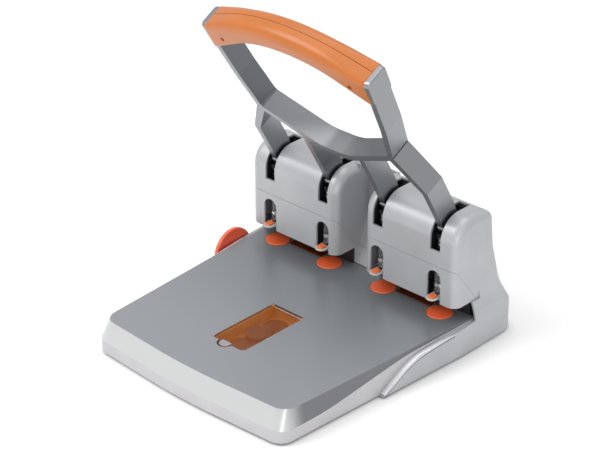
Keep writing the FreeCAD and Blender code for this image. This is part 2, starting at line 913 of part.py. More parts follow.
def nose_region(drop, far):
    """Side view of one side of the seam between head cover and nose panel."""
    edge = [
        ("head_front - overcut", f"nose_seam_height - ({drop})"),
        ("head_front + nose_seam_flat", f"nose_seam_height - ({drop})", "nose_seam_round"),
        ("nose_seam_back", f"{THROAT_TOP} - ({drop})"),
    ]
    return edge + far


def make_head_covers():
    """Upper covers of the two heads, slotted for the lever's legs."""
    body = new_body("head_cover_body")
    head_shell(body)
    below = [("nose_seam_back", f"{THROAT_TOP} - overcut"),
             ("head_front - overcut", f"{THROAT_TOP} - overcut")]
    carve(body, "YZ", "head_inner", "head_outer", [nose_region("0", below)])
    for x in STATIONS[2:]:
        slot = box_outline("head_front - overcut", "slot_back",
                           "slot_bottom", "head_top + overcut")
        carve(body, "YZ", f"{x} - slot_half", f"{x} + slot_half", [slot])
    publish(body, "head_cover_right")
    publish(mirror("head_cover_copy", body), "head_cover_left")


def make_nose_panels():
    """Lower front panels of the heads, with an arched window at each punch."""
    body = new_body("nose_panel_body")
    head_shell(body)
    above = [("head_parting + overcut", f"{THROAT_TOP} - seam"),
             ("head_parting + overcut", "head_top + overcut"),
             ("head_front - overcut", "head_top + overcut")]
    carve(body, "YZ", "head_inner", "head_outer", [nose_region("seam", above)])
    for x in STATIONS[2:]:
        low_x, high_x = f"{x} - arch_half", f"{x} + arch_half"
        arch = box_outline(low_x, high_x, f"{THROAT_TOP} - overcut", "arch_top")
        arch[2] = (high_x, "arch_top", "arch_round")
        arch[3] = (low_x, "arch_top", "arch_round")
        carve(body, "XZ", "head_front", "head_front + 2 * wall", [arch])
    publish(body, "nose_panel_right")
    publish(mirror("nose_panel_copy", body), "nose_panel_left")


def frame_sheets():
    """Bounds along X of the three upright sheets in the right head's frame."""
    first = "head_inner + frame_side_gap"
    last = "head_outer - frame_side_gap"
    return [
        (first, f"{first} + frame_sheet"),
        ("hole_pitch - frame_sheet / 2", "hole_pitch + frame_sheet / 2"),
        (f"{last} - frame_sheet", last),
    ]


def frame_bolt_places():
    """Where the frames are bolted down, on both sides."""
    places = []
    for side in (-1, 1):
        for x in STATIONS[2:]:
            for y in ("frame_neck + bolt_inset", "frame_back - bolt_inset"):
                places.append((f"{side} * {x}", y))
    return places


def make_head_frames():
    """Steel C-frames that carry the hinge shaft, the guide bushes and the die plate."""
    body = new_body("head_frame_body")
    profile = [
        ("die_front", "frame_arm_low"),
        ("die_front", f"{DIE_TOP} - die_sheet"),
        ("frame_neck", f"{DIE_TOP} - die_sheet"),
        ("frame_neck", "beam_bottom", "frame_round"),
        ("beam_front + beam_chamfer", "beam_bottom"),
        ("beam_front + beam_chamfer", "beam_top"),
        ("pivot_y - ear_half", "beam_top + ear_half"),
        ("pivot_y - ear_half", "pivot_z + ear_half", "frame_round"),
        ("pivot_y + ear_half", "pivot_z + ear_half", "frame_round"),
        ("pivot_y + ear_half", "ear_root"),
        ("spine_back", "spine_knee"),
        ("frame_back", INSIDE_FLOOR),
        ("frame_neck", INSIDE_FLOOR),
        ("frame_neck", "frame_arm_low"),
    ]
    for low, high in frame_sheets():
        extrude(body, "YZ", low, high, [profile])
    inner, outer = frame_sheets()[0][0], frame_sheets()[2][1]
    beam = [
        (inner, "beam_back"),
        (inner, "beam_front + beam_chamfer"),
        (f"{inner} + beam_chamfer", "beam_front"),
        (f"{outer} - beam_chamfer", "beam_front"),
        (outer, "beam_front + beam_chamfer"),
        (outer, "beam_back"),
    ]
    extrude(body, "XY", "beam_bottom", "beam_top", [beam])
    flange = box_outline("frame_neck", "frame_back", INSIDE_FLOOR, f"{INSIDE_FLOOR} + flange_sheet")
    extrude(body, "YZ", inner, outer, [flange])
    web = box_outline("frame_neck", "frame_neck + frame_sheet", INSIDE_FLOOR, "beam_bottom")
    extrude(body, "YZ", inner, outer, [web])
    bores = [((x, "punch_line"), "bush_radius") for x in STATIONS[2:]]
    carve(body, "XY", "beam_bottom", "beam_top", circles=bores)
    holes = [(place, "bolt_radius") for place in frame_bolt_places()[4:]]
    carve(body, "XY", INSIDE_FLOOR, f"{INSIDE_FLOOR} + flange_sheet", circles=holes)
    carve(body, "YZ", inner, outer, circles=[(("pivot_y", "pivot_z"), "shaft_radius")])
    publish(body, "head_frame_right")
    publish(mirror("head_frame_copy", body), "head_frame_left")


def make_frame_bolts():
    """Bolts that hold both frames down on the bottom cover."""
    bolts = [
        screw_from_below("frame_bolt", place, "bolt_radius", "bolt_head", "bolt_length")
        for place in frame_bolt_places()
    ]
    publish(group("bolts", bolts), "frame_bolts")


def make_guide_bushes():
    """Flanged bushes, pressed in the frames, in which the punches slide."""
    bushes = []
    for x in STATIONS:
        sleeve = rod("bush_sleeve", "z", (x, "punch_line"), "bush_radius", ("bush_bottom", "beam_top"))
        flange = rod("bush_flange", "z", (x, "punch_line"), "bush_flange_radius",
                     ("beam_top", "beam_top + bush_flange"))
        bore = rod("bush_bore", "z", (x, "punch_line"), "shank_radius + running_gap",
                   ("bush_bottom - overcut", "beam_top + bush_flange + overcut"))
        bushes.append(subtract("bush", fuse("bush_solid", [sleeve, flange]), bore))
    publish(group("bushes", bushes), "guide_bushes")


def make_stripper_plates():
    """Plates under the heads that strip the paper and carry the release tabs."""
    body = new_body("stripper_body")
    inner, outer = frame_sheets()[0][0], frame_sheets()[2][1]
    plate = box_outline("stripper_front", "frame_neck", THROAT_TOP, STRIPPER_TOP)
    extrude(body, "YZ", inner, outer, [plate])
    rail = "tab_half + moving_gap"
    rails = []
    for x in STATIONS[2:]:
        rails.append(box_outline(f"{x} - {rail} - rail_sheet", f"{x} - ({rail})",
                                 "stripper_front", "beam_back"))
        rails.append(box_outline(f"{x} + {rail}", f"{x} + {rail} + rail_sheet",
                                 "stripper_front", "beam_back"))
    extrude(body, "XY", STRIPPER_TOP, f"{TAB_BOTTOM} + tab_sheet", rails)
    holes = [((x, "punch_line"), "tip_radius + moving_gap") for x in STATIONS[2:]]
    carve(body, "XY", THROAT_TOP, STRIPPER_TOP, circles=holes)
    publish(body, "stripper_plate_right")
    publish(mirror("stripper_copy", body), "stripper_plate_left")


def make_throat():
    """Die plate, dark liners and amber paper stops around the throat."""
    half = "head_outer - frame_side_gap"
    plate = block("die_block", (f"-({half})", half), ("die_front", "frame_neck - seam"),
                  (f"{DIE_TOP} - die_sheet", DIE_TOP))
    bores = [
        rod("die_bore", "z", (x, "punch_line"), "disc_spindle + running_gap",
            (f"{DIE_TOP} - die_sheet - overcut", f"{DIE_TOP} + overcut"))
        for x in STATIONS
    ]
    publish(subtract("die", plate, fuse("die_bores", bores)), "die_plate")
    liners = []
    for side in (-1, 1):
        low, high = "head_inner + seam", "head_outer - wall - seam"
        if side < 0:
            low, high = (f"-({high})", f"-({low})")
        liners.append(block("liner", (low, high),
                            ("punch_line + liner_depth",
                             "punch_line + liner_depth + liner_sheet"),
                            (TABLE, f"{THROAT_TOP} - seam")))
    publish(group("liners", liners), "throat_liners")
    body = new_body("paper_stop_body")
    stop = "punch_line + stop_depth"
    profile = [
        (stop, f"{TABLE} + stop_foot_sheet"),
        (stop, f"{THROAT_TOP} - seam"),
        (f"{stop} + stop_sheet", f"{THROAT_TOP} - seam"),
        (f"{stop} + stop_sheet", TABLE),
        (f"{stop} - stop_foot", TABLE),
        (f"{stop} - stop_foot", f"{TABLE} + stop_foot_sheet"),
    ]
    extrude(body, "YZ", "hole_pitch - stop_half", "hole_pitch + stop_half", [profile])
    publish(body, "paper_stop_right")
    publish(mirror("paper_stop_copy", body), "paper_stop_left")


# ---------------------------------------------------------------- punches, discs, tabs
def make_punch(number, x):
    """One hollow punch with its head and return spring."""
    axis = (x, "punch_line")
    cutter = rod("cutter", "z", axis, "tip_radius", (TIP, "shank_bottom"))
    shank_top = f"{PUNCH_SHOULDER} + punch_head_socket"
    shank = rod("shank", "z", axis, "shank_radius", ("shank_bottom", shank_top))
    bore_top = "shank_bottom - bore_roof"
    bore = rod("cutter_bore", "z", axis, "tip_bore", (f"{TIP} - overcut", bore_top))
    port = block("port", (f"{x} - tip_bore", f"{x} + tip_bore"),
                 ("punch_line", "punch_line + tip_radius + overcut"),
                 (f"{bore_top} - chip_port", bore_top))
    pin = subtract("pin", fuse("pin_solid", [cutter, shank]), fuse("pin_tools", [bore, port]))
    publish(pin, f"punch_pin_{number}")
    crown = rod("crown", "z", axis, "punch_head_radius", (PUNCH_SHOULDER, PUNCH_TOP))
    socket = rod("crown_socket", "z", axis, "shank_radius",
                 (f"{PUNCH_SHOULDER} - overcut", shank_top))
    publish(subtract("punch_crown", crown, socket), f"punch_head_{number}")
    seat = "beam_top + bush_flange + spring_wire + running_gap"
    coil = DOC.addObject("Part::Helix", "coil")
    bind(coil, "Radius", "spring_radius")
    height = f"{PUNCH_SHOULDER} - 2 * spring_wire - 2 * running_gap - beam_top - bush_flange"
    bind(coil, "Height", height)
    bind(coil, "Pitch", f"({height}) / spring_turns")
    wire = DOC.addObject("Part::Circle", "wire")
    bind(wire, "Radius", "spring_wire")
    wire.Placement.Rotation = FreeCAD.Rotation(FreeCAD.Vector(1, 0, 0), 90)
    bind(wire, "Placement.Base.x", "spring_radius")
    sweep = DOC.addObject("Part::Sweep", "spring")
    sweep.Sections = [wire]
    sweep.Spine = (coil, [])
    sweep.Solid = True
    sweep.Frenet = True
    bind(sweep, "Placement.Base.x", x)
    bind(sweep, "Placement.Base.y", "punch_line")
    bind(sweep, "Placement.Base.z", seat)
    publish(sweep, f"return_spring_{number}")


def make_cutting_disc(number, x):
    """One plastic disc that the punch cuts against, on a spindle in the die plate."""
    axis = (x, "punch_line")
    base = f"{DISC_TOP} - disc_height"
    plate = rod("disc_plate", "z", axis, "disc_radius", (base, DISC_TOP))
    spindle = rod("disc_spindle", "z", axis, "disc_spindle", (f"{base} - disc_spindle_length", base))
    publish(fuse("disc", [plate, spindle]), f"cutting_disc_{number}")


def make_release_tab(number, x):
    """One forked tab that frees its punch when pulled, with a coloured insert."""
    body = new_body(f"tab_body_{number}")
    top = f"{TAB_BOTTOM} + tab_sheet"
    plan = [
        (f"{x} - tab_half", "tab_front", "tab_round"),
        (f"{x} + tab_half", "tab_front", "tab_round"),
        (f"{x} + tab_half", "tab_back"),
        (f"{x} + tab_fork_half", "tab_back"),
        (f"{x} + tab_fork_half", "tab_fork_front", "tab_fork_round"),
        (f"{x} - tab_fork_half", "tab_fork_front", "tab_fork_round"),
        (f"{x} - tab_fork_half", "tab_back"),
        (f"{x} - tab_half", "tab_back"),
    ]
    extrude(body, "XY", TAB_BOTTOM, top, [plan])
    publish(body, f"release_tab_{number}")
    insert = new_body(f"insert_body_{number}")
    profile = [
        ("tab_front + tab_insert_inset", top),
        ("tab_front + tab_insert_inset", f"{top} + tab_insert_low"),
        ("head_front + wall", f"{top} + tab_insert_height"),
        ("head_front + wall", top),
    ]
    extrude(insert, "YZ", f"{x} - tab_insert_half", f"{x} + tab_insert_half", [profile])
    publish(insert, f"tab_insert_{number}")


# ---------------------------------------------------------------- disc store in the table
def make_disc_well():
    """Open tray under the window, with a ledge and two ears for the lid's hinge."""
    body = new_body("disc_well_body")
    ledge = "window_half_width - well_ledge"
    outer = "window_half_width + well_ledge"
    front_in, rear_in = "window_front + well_ledge", "window_rear + seam"
    front_out, rear_out = "window_front - well_ledge - notch_radius", "window_rear + 2 * well_ledge"
    extrude(body, "XY", "well_floor", UNDER_PLATE,
            [box_outline(f"-({outer})", outer, front_out, rear_out)])
    rim = "window_half_width - seam"
    rim_top = f"{LID_BOTTOM} - moving_gap"
    extrude(body, "XY", UNDER_PLATE, rim_top,
            [box_outline(f"-({rim})", rim, "window_front + window_round + seam", "well_rim_end")])
    inside = "well_floor + well_sheet"
    carve(body, "XY", inside, rim_top, [box_outline(f"-({ledge})", ledge, front_in, rear_in)])
    carve(body, "XY", inside, UNDER_PLATE, circles=[(("notch_x", "window_front"), "notch_radius")])
    ear_low = f"{LID_HINGE_Y} - lid_ear"
    ears = [box_outline(ledge, rim, ear_low, "window_rear - seam"),
            box_outline(f"-({rim})", f"-({ledge})", ear_low, "window_rear - seam")]
    extrude(body, "XY", UNDER_PLATE, f"{LID_HINGE_Z} + lid_ear_top", ears)
    carve(body, "YZ", f"-({outer})", outer, circles=[((LID_HINGE_Y, LID_HINGE_Z), "lid_pin")])
    publish(body, "disc_well")


def make_lid():
    """Clear lid with a hinge knuckle, its pin and its metal lift tab."""
    half = "window_half_width - moving_gap"
    ledge = "window_half_width - well_ledge - moving_gap"
    front = "window_front + moving_gap"
    notch = f"{LID_HINGE_Y} - lid_corner"
    rear = LID_HINGE_Y
    latch_low, latch_high = "notch_x - lid_latch_half", "notch_x + lid_latch_half"
    body = new_body("lid_body")
    plan = [
        (f"-({half})", front, "window_round - moving_gap"),
        (half, front, "window_round - moving_gap"),
        (half, notch),
        (ledge, notch),
        (ledge, rear),
        (f"-({ledge})", rear),
        (f"-({ledge})", notch),
        (f"-({half})", notch),
    ]
    extrude(body, "XY", LID_BOTTOM, LID_TOP, [plan])
    extrude(body, "YZ", f"-({ledge})", ledge, circles=[((LID_HINGE_Y, LID_HINGE_Z), "lid_knuckle")])
    carve(body, "YZ", f"-({half})", half,
          circles=[((LID_HINGE_Y, LID_HINGE_Z), "lid_pin + running_gap")])
    latch_back = f"{front} + lid_latch_seat"
    latch_bottom = f"{LID_TOP} - lid_latch_sheet"
    carve(body, "XY", latch_bottom, LID_TOP,
          [box_outline(latch_low, latch_high, f"{front} - overcut", latch_back)])
    publish(body, "disc_lid")
    pin = rod("lid_pin", "x", (LID_HINGE_Y, LID_HINGE_Z), "lid_pin",
              (f"-({half})", half))
    publish(pin, "lid_hinge_pin")
    latch = new_body("lid_latch_body")
    tongue = [
        (latch_low, "window_front - lid_latch_reach", "lid_latch_round"),
        (latch_high, "window_front - lid_latch_reach", "lid_latch_round"),
        (latch_high, latch_back),
        (latch_low, latch_back),
    ]
    extrude(latch, "XY", latch_bottom, LID_TOP, [tongue])
    publish(latch, "lid_lift_tab")


def make_spare_discs():
    """Three spare cutting discs: two on the floor of the tray and one across them."""
    floor = "well_floor + well_sheet"
    middle = "(window_front + window_rear) / 2"
    places = [
        (f"{middle} - spare_pitch", floor),
        (middle, f"{floor} + disc_height"),
        (f"{middle} + spare_pitch", floor),
    ]
    discs = [
        rod("spare", "z", ("0", y), "disc_radius", (low, f"{low} + disc_height"))
        for y, low in places
    ]
    publish(group("spares", discs), "spare_discs")


# ---------------------------------------------------------------- side guide and drawer
def make_side_guide():
    """Side stop for the paper: a flat-bottomed disc on a rod, and the rod's sleeve."""
    inner = "-(floor_half + guide_stand_off)"
    body = new_body("side_guide_body")
    extrude(body, "YZ", f"{inner} - guide_sheet", inner,
            circles=[(("guide_y", "guide_z"), "guide_radius")])
    flat = box_outline("guide_y - guide_radius", "guide_y + guide_radius",
                       "guide_z - guide_radius - overcut", "guide_lift")
    carve(body, "YZ", f"{inner} - guide_sheet", inner, [flat])
    publish(body, "side_guide_disc")
    publish(rod("guide_bar", "x", ("guide_y", "guide_z"), "rod_radius",
                (inner, f"{inner} + rod_length")), "side_guide_rod")
    start = "-(crease_half_bend - wall - 2 * seam)"
    shell = block("sleeve_block", (start, f"{start} + sleeve_length"),
                  ("guide_y - sleeve_half", "guide_y + sleeve_half"),
                  (INSIDE_FLOOR, "guide_z + sleeve_half"))
    bore = rod("sleeve_bore", "x", ("guide_y", "guide_z"), "rod_radius + running_gap",
               (f"{start} - overcut", f"{start} + sleeve_length + overcut"))
    publish(subtract("sleeve", shell, bore), "guide_sleeve")


def make_chip_drawer():
    """Drawer for the chips, closing flush with the sloping rear wall."""
    slope = "(rear_end - shoulder_back) / (shoulder_height - toe_height)"
    back_at_top = f"shoulder_back + (shoulder_height - drawer_top) * {slope}"
    body = new_body("chip_drawer_body")
    profile = [
        ("drawer_front", "drawer_low"),
        ("drawer_front", "drawer_top"),
        (back_at_top, "drawer_top"),
        ("rear_end", "toe_height"),
        ("rear_end", "drawer_low"),
    ]
    extrude(body, "YZ", "-drawer_half", "drawer_half", [profile])
    inner = "drawer_half - wall"
    carve(body, "XY", "drawer_low + wall", "drawer_top",
          [box_outline(f"-({inner})", inner, "drawer_front + wall", "shoulder_back")])
    publish(body, "chip_drawer")


# ---------------------------------------------------------------- hinge and lever
def make_shafts():
    """Hinge shaft of each head with its spacers and end clips."""
    start, end = frame_sheets()[0][0], frame_sheets()[2][1]
    hinge = ("pivot_y", "pivot_z")
    reach = "2 * clip_sheet"
    shaft = rod("shaft", "x", hinge, "shaft_radius", (f"{start} - {reach}", f"{end} + {reach}"))
    publish(group("shafts", [shaft, mirror("shaft_copy", shaft)]), "hinge_shafts")
    rings = []
    for name, low, high in (("clip_a", f"{start} - clip_sheet", start),
                            ("clip_b", end, f"{end} + clip_sheet")):
        ring = rod(name, "x", hinge, "clip_radius", (low, high))
        past = (f"{low} - overcut", f"{high} + overcut")
        bore = rod(f"{name}_bore", "x", hinge, "shaft_radius", past)
        rings.append(subtract(f"{name}_ring", ring, bore))
    publish(group("clips", rings + [mirror("clip_copy", ring) for ring in rings]), "shaft_clips")
    spans = []
    sheets = frame_sheets()
    for index, x in enumerate(STATIONS[2:]):
        spans.append((sheets[index][1], f"{x} - band / 2 - moving_gap"))
        spans.append((f"{x} + band / 2 + moving_gap", sheets[index + 1][0]))
    tubes = []
    for low, high in spans:
        tube = rod("spacer", "x", hinge, "spacer_radius", (low, high))
        past = (f"{low} - overcut", f"{high} + overcut")
        bore = rod("spacer_bore", "x", hinge, "shaft_radius", past)
        tubes.append(subtract("spacer_tube", tube, bore))
    publish(group("spacers", tubes + [mirror("spacer_copy", tube) for tube in tubes]),
            "shaft_spacers")


def mirrored(right_half):
    """Add the left half of an outline that is symmetric about the middle."""
    left_half = [(f"-({corner[0]})",) + tuple(corner[1:]) for corner in reversed(right_half)]
    return right_half + left_half


def make_lever():
    """Cast lever: a closed loop on four legs with hinge bosses and cams."""
    body = new_body("lever_body")
    half_depth = "band_depth / 2"
    loop = mirrored([
        ("loop_flat", "loop_low", "loop_low_round"),
        ("loop_hip_x", "loop_hip", "loop_hip_round"),
        ("loop_waist_x", "loop_waist", "loop_waist_round"),
        ("loop_top_x", "loop_top", "loop_top_round"),
    ])
    loop.insert(len(loop) // 2, ("0", "loop_crown", "loop_crown_round"))
    extrude(body, "XZ", f"-({half_depth})", half_depth, [loop])
    faces = faces_at(body.Shape, y=half_depth) + faces_at(body.Shape, y=f"-({half_depth})")
    hollow(body, faces, "band")
    half = "band / 2"
    legs = []
    for side in (-1, 1):
        near = f"{side} * 0.5 * hole_pitch"
        far = f"{side} * 1.5 * hole_pitch"
        legs.append(box_outline(f"{near} - {half}", f"{near} + {half}", "leg_root", "leg_top"))
        outer, inner = f"{far} + {side} * {half}", f"{far} - {side} * {half}"
        legs.append([
            (inner, "leg_root"),
            (outer, "leg_root"),
            (outer, "leg_kink_outer", "leg_round"),
            (f"{side} * elbow_outer_x", "elbow_outer"),
            (f"{side} * elbow_inner_x", "elbow_inner"),
            (inner, "leg_kink_inner", "leg_round"),
        ])
    extrude(body, "XZ", f"-({half_depth})", half_depth, legs)
    cam_z = "crank * sin(swing / 2 + lean)"
    cam_y = "-crank * cos(swing / 2 + lean)"
    foot = [
        ("boss_radius", "0"),
        (half_depth, "leg_root"),
        (f"-({half_depth})", "leg_root"),
        ("-cam_heel_y", f"{cam_z} + cam_heel_rise"),
        (cam_y, cam_z),
        ("-cam_notch_y", "cam_notch_z"),
        ("-cam_root_y", "0"),
    ]
    low, high = f"{STATIONS[0]} - {half}", f"{STATIONS[0]} + {half}"
    first_foot = [
        extrude(body, "YZ", low, high, [foot]),
        extrude(body, "YZ", low, high, circles=[(("0", "0"), "boss_radius")]),
        extrude(body, "YZ", low, high, circles=[((cam_y, cam_z), "cam_radius")]),
    ]
    repeat_along_row(body, first_foot)
    reach = "head_outer"
    carve(body, "YZ", f"-{reach}", reach, circles=[(("0", "0"), "shaft_radius + running_gap")])
    publish(lean_forward(body), "lever_casting")
    return body


def grip_half(name, low, high):
    """Outer form of the grip with everything between two depths cut away."""
    body = new_body(name)
    outline = [
        ("grip_half", "grip_low_end"),
        ("grip_half", "grip_top_end"),
        ("0", "grip_top_mid", "grip_top_bend"),
        ("-grip_half", "grip_top_end"),
        ("-grip_half", "grip_low_end"),
        ("0", "grip_low_mid", "grip_low_bend"),
    ]
    extrude(body, "XZ", "-grip_front", "grip_front", [outline])
    rims = []
    for face_y in ("-grip_front", "grip_front"):
        for edge_name in edges_at(body.Shape, y=face_y):
            box = body.Shape.getElement(edge_name).BoundBox
            if box.XLength > TOLERANCE:
                rims.append(edge_name)
    round_edges(body, rims, "grip_round")
    beyond = box_outline("-(grip_half + overcut)", "grip_half + overcut",
                         "loop_waist", "grip_top_mid + overcut")
    carve(body, "XZ", low, high, [beyond])
    return lean_forward(body)


def make_grip(casting):
    """Two-part grip around the top of the loop and the screws that join it."""
    front = grip_half("grip_front_body", "grip_parting", "grip_front + overcut")
    rear = grip_half("grip_rear_body", "-(grip_front + overcut)", "grip_parting")
    places = [("-grip_screw_x", "grip_screw_end"), ("0", "grip_screw_mid"),
              ("grip_screw_x", "grip_screw_end")]
    span = ("-grip_front + screw_sink", "grip_front - 3 * screw_sink")
    bores = []
    screws = []
    for place in places:
        wells = rod("grip_well", "y", place, "grip_screw_head",
                    ("-(grip_front + overcut)", f"{span[0]} + screw_head_height"))
        shank = rod("grip_bore", "y", place, "screw_radius", span)
        bores.append(fuse("grip_hole", [wells, shank]))
        head = rod("grip_screw_cap", "y", place, "grip_screw_head",
                   (span[0], f"{span[0]} + screw_head_height"))
        stem = rod("grip_screw_stem", "y", place, "screw_radius", span)
        screws.append(fuse("grip_screw", [head, stem]))
    tool = lean_forward(fuse("grip_holes", bores))
    for half, label in ((front, "grip_front_shell"), (rear, "grip_rear_shell")):
        seated = subtract(f"{label}_seated", half, casting)
        publish(subtract(f"{label}_drilled", seated, tool), label)
    publish(lean_forward(group("grip_screw_set", screws)), "grip_screws")


def check_and_export():
    """Stop on any failed object or shape, then write one file for each sub-part."""
    DOC.recompute()
    broken = [thing.Name for thing in DOC.Objects
              if "Invalid" in thing.State or "Error" in thing.State]
    for label, thing in NODES.items():
        if thing.Shape.isNull() or not thing.Shape.isValid() or not thing.Shape.Solids:
            broken.append(label)
    if broken:
        raise ValueError(f"failed objects: {broken}")
    os.makedirs("parts", exist_ok=True)
    for label, thing in NODES.items():
        thing.Shape.exportStep(f"parts/{label}.step")


def main():
    """Build every sub-part and write it out."""
    make_bottom_cover()
    make_base_shell()
    make_table_top()
    make_feet()
    make_base_screws()
    make_rear_housing()
    make_head_covers()
    make_nose_panels()
    make_head_frames()
    make_frame_bolts()
    make_guide_bushes()
    make_stripper_plates()
    make_throat()
    for number, x in enumerate(STATIONS, start=1):
        make_punch(number, x)
        make_cutting_disc(number, x)
        make_release_tab(number, x)
    make_disc_well()
    make_lid()
    make_spare_discs()
    make_side_guide()
    make_chip_drawer()
    make_shafts()
    make_grip(make_lever())
    check_and_export()


main()
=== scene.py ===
"""Dressed model of a heavy-duty lever paper punch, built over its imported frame."""
from __future__ import annotations

import json
import logging
import math
from collections.abc import Callable
from dataclasses import dataclass, field
from enum import Enum

import bmesh
import bpy
from mathutils import Matrix, Vector

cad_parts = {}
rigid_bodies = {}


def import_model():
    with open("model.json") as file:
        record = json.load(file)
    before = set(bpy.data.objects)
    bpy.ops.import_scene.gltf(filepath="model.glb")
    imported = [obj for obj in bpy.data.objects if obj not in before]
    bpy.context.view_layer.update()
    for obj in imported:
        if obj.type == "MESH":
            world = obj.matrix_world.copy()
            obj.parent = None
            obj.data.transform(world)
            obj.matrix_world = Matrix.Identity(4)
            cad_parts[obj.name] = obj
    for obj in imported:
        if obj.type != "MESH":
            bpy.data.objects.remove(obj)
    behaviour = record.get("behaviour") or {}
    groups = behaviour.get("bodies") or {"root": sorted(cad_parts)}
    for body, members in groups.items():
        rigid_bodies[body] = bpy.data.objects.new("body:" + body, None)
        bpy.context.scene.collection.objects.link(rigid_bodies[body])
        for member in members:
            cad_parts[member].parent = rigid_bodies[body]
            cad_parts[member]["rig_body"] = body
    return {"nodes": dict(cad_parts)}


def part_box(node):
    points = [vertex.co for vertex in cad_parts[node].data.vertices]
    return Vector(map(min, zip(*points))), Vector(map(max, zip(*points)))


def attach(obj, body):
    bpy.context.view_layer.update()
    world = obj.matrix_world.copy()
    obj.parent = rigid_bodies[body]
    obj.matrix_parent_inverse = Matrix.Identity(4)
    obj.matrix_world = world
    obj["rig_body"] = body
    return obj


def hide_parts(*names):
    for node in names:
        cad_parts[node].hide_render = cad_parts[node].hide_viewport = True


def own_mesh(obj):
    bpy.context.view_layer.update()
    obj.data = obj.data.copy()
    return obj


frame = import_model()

LOG = logging.getLogger("lever_punch")
MM = 0.001
QUARTER_TURN = math.pi / 2
SIDES = ((1.0, "right"), (-1.0, "left"))

Triple = tuple[float, float, float]


class Tint(Enum):
    """Colours of the machine, as sRGB hex values."""

    SHELL = "#b0b1b4"
    # Painted light and shade on the table's one satin paint: plate darker at the rear, lighter
    # at the front, apron lit, sides shaded.
    PLATE_REAR = "#7f8387"
    PLATE_FRONT = "#909398"
    APRON = "#c5c7c7"
    SIDE = "#6c6e72"
    BAND = "#bcbbbe"
    # Painted highlight: the wing's bead, a lighter copy of the shell's plastic.
    LIP = "#d2d2d6"
    TAB = "#b9bab6"
    CAST = "#97999c"
    # Painted shade on the inward faces of the lever's loop.
    CAST_INNER = "#727478"
    GRIP = "#b8651c"
    DISC = "#f0683c"
    SPARE = "#2c180e"
    SIDE_DISC = "#f06242"
    INSERT = "#e8743f"
    AMBER = "#a8591c"
    STOP = "#602c14"
    CLEAR = "#dfe3e2"
    WELL = "#c98a44"
    SPRING = "#2c2d30"
    BLACK = "#161618"
    FRAME = "#4c4f51"
    STEEL = "#b9babd"
    BRIGHT = "#d4d5d8"
    BRONZE = "#a8864e"
    RUBBER = "#1d1d1f"
    FLOOR = "#f4f4f4"


class Srgb:
    """Numbers of the sRGB transfer curve."""

    FULL = 255
    KNEE = 0.04045
    SLOPE = 12.92
    OFFSET = 0.055
    POWER = 2.4


def linear(tint: Tint) -> tuple[float, float, float, float]:
    """Turn an sRGB hex colour into scene-linear values.

    Args:
        tint: The colour to turn.

    Returns:
        Red, green, blue and a full alpha, scene-linear.
    """
    text = tint.value.lstrip("#")
    parts = [int(text[start:start + 2], 16) / Srgb.FULL for start in (0, 2, 4)]
    red, green, blue = (
        part / Srgb.SLOPE if part <= Srgb.KNEE
        else ((part + Srgb.OFFSET) / (1.0 + Srgb.OFFSET)) ** Srgb.POWER for part in parts)
    return (red, green, blue, 1.0)


def metres(place: tuple[float, ...]) -> list[float]:
    """Turn millimetres into metres."""
    return [part * MM for part in place]


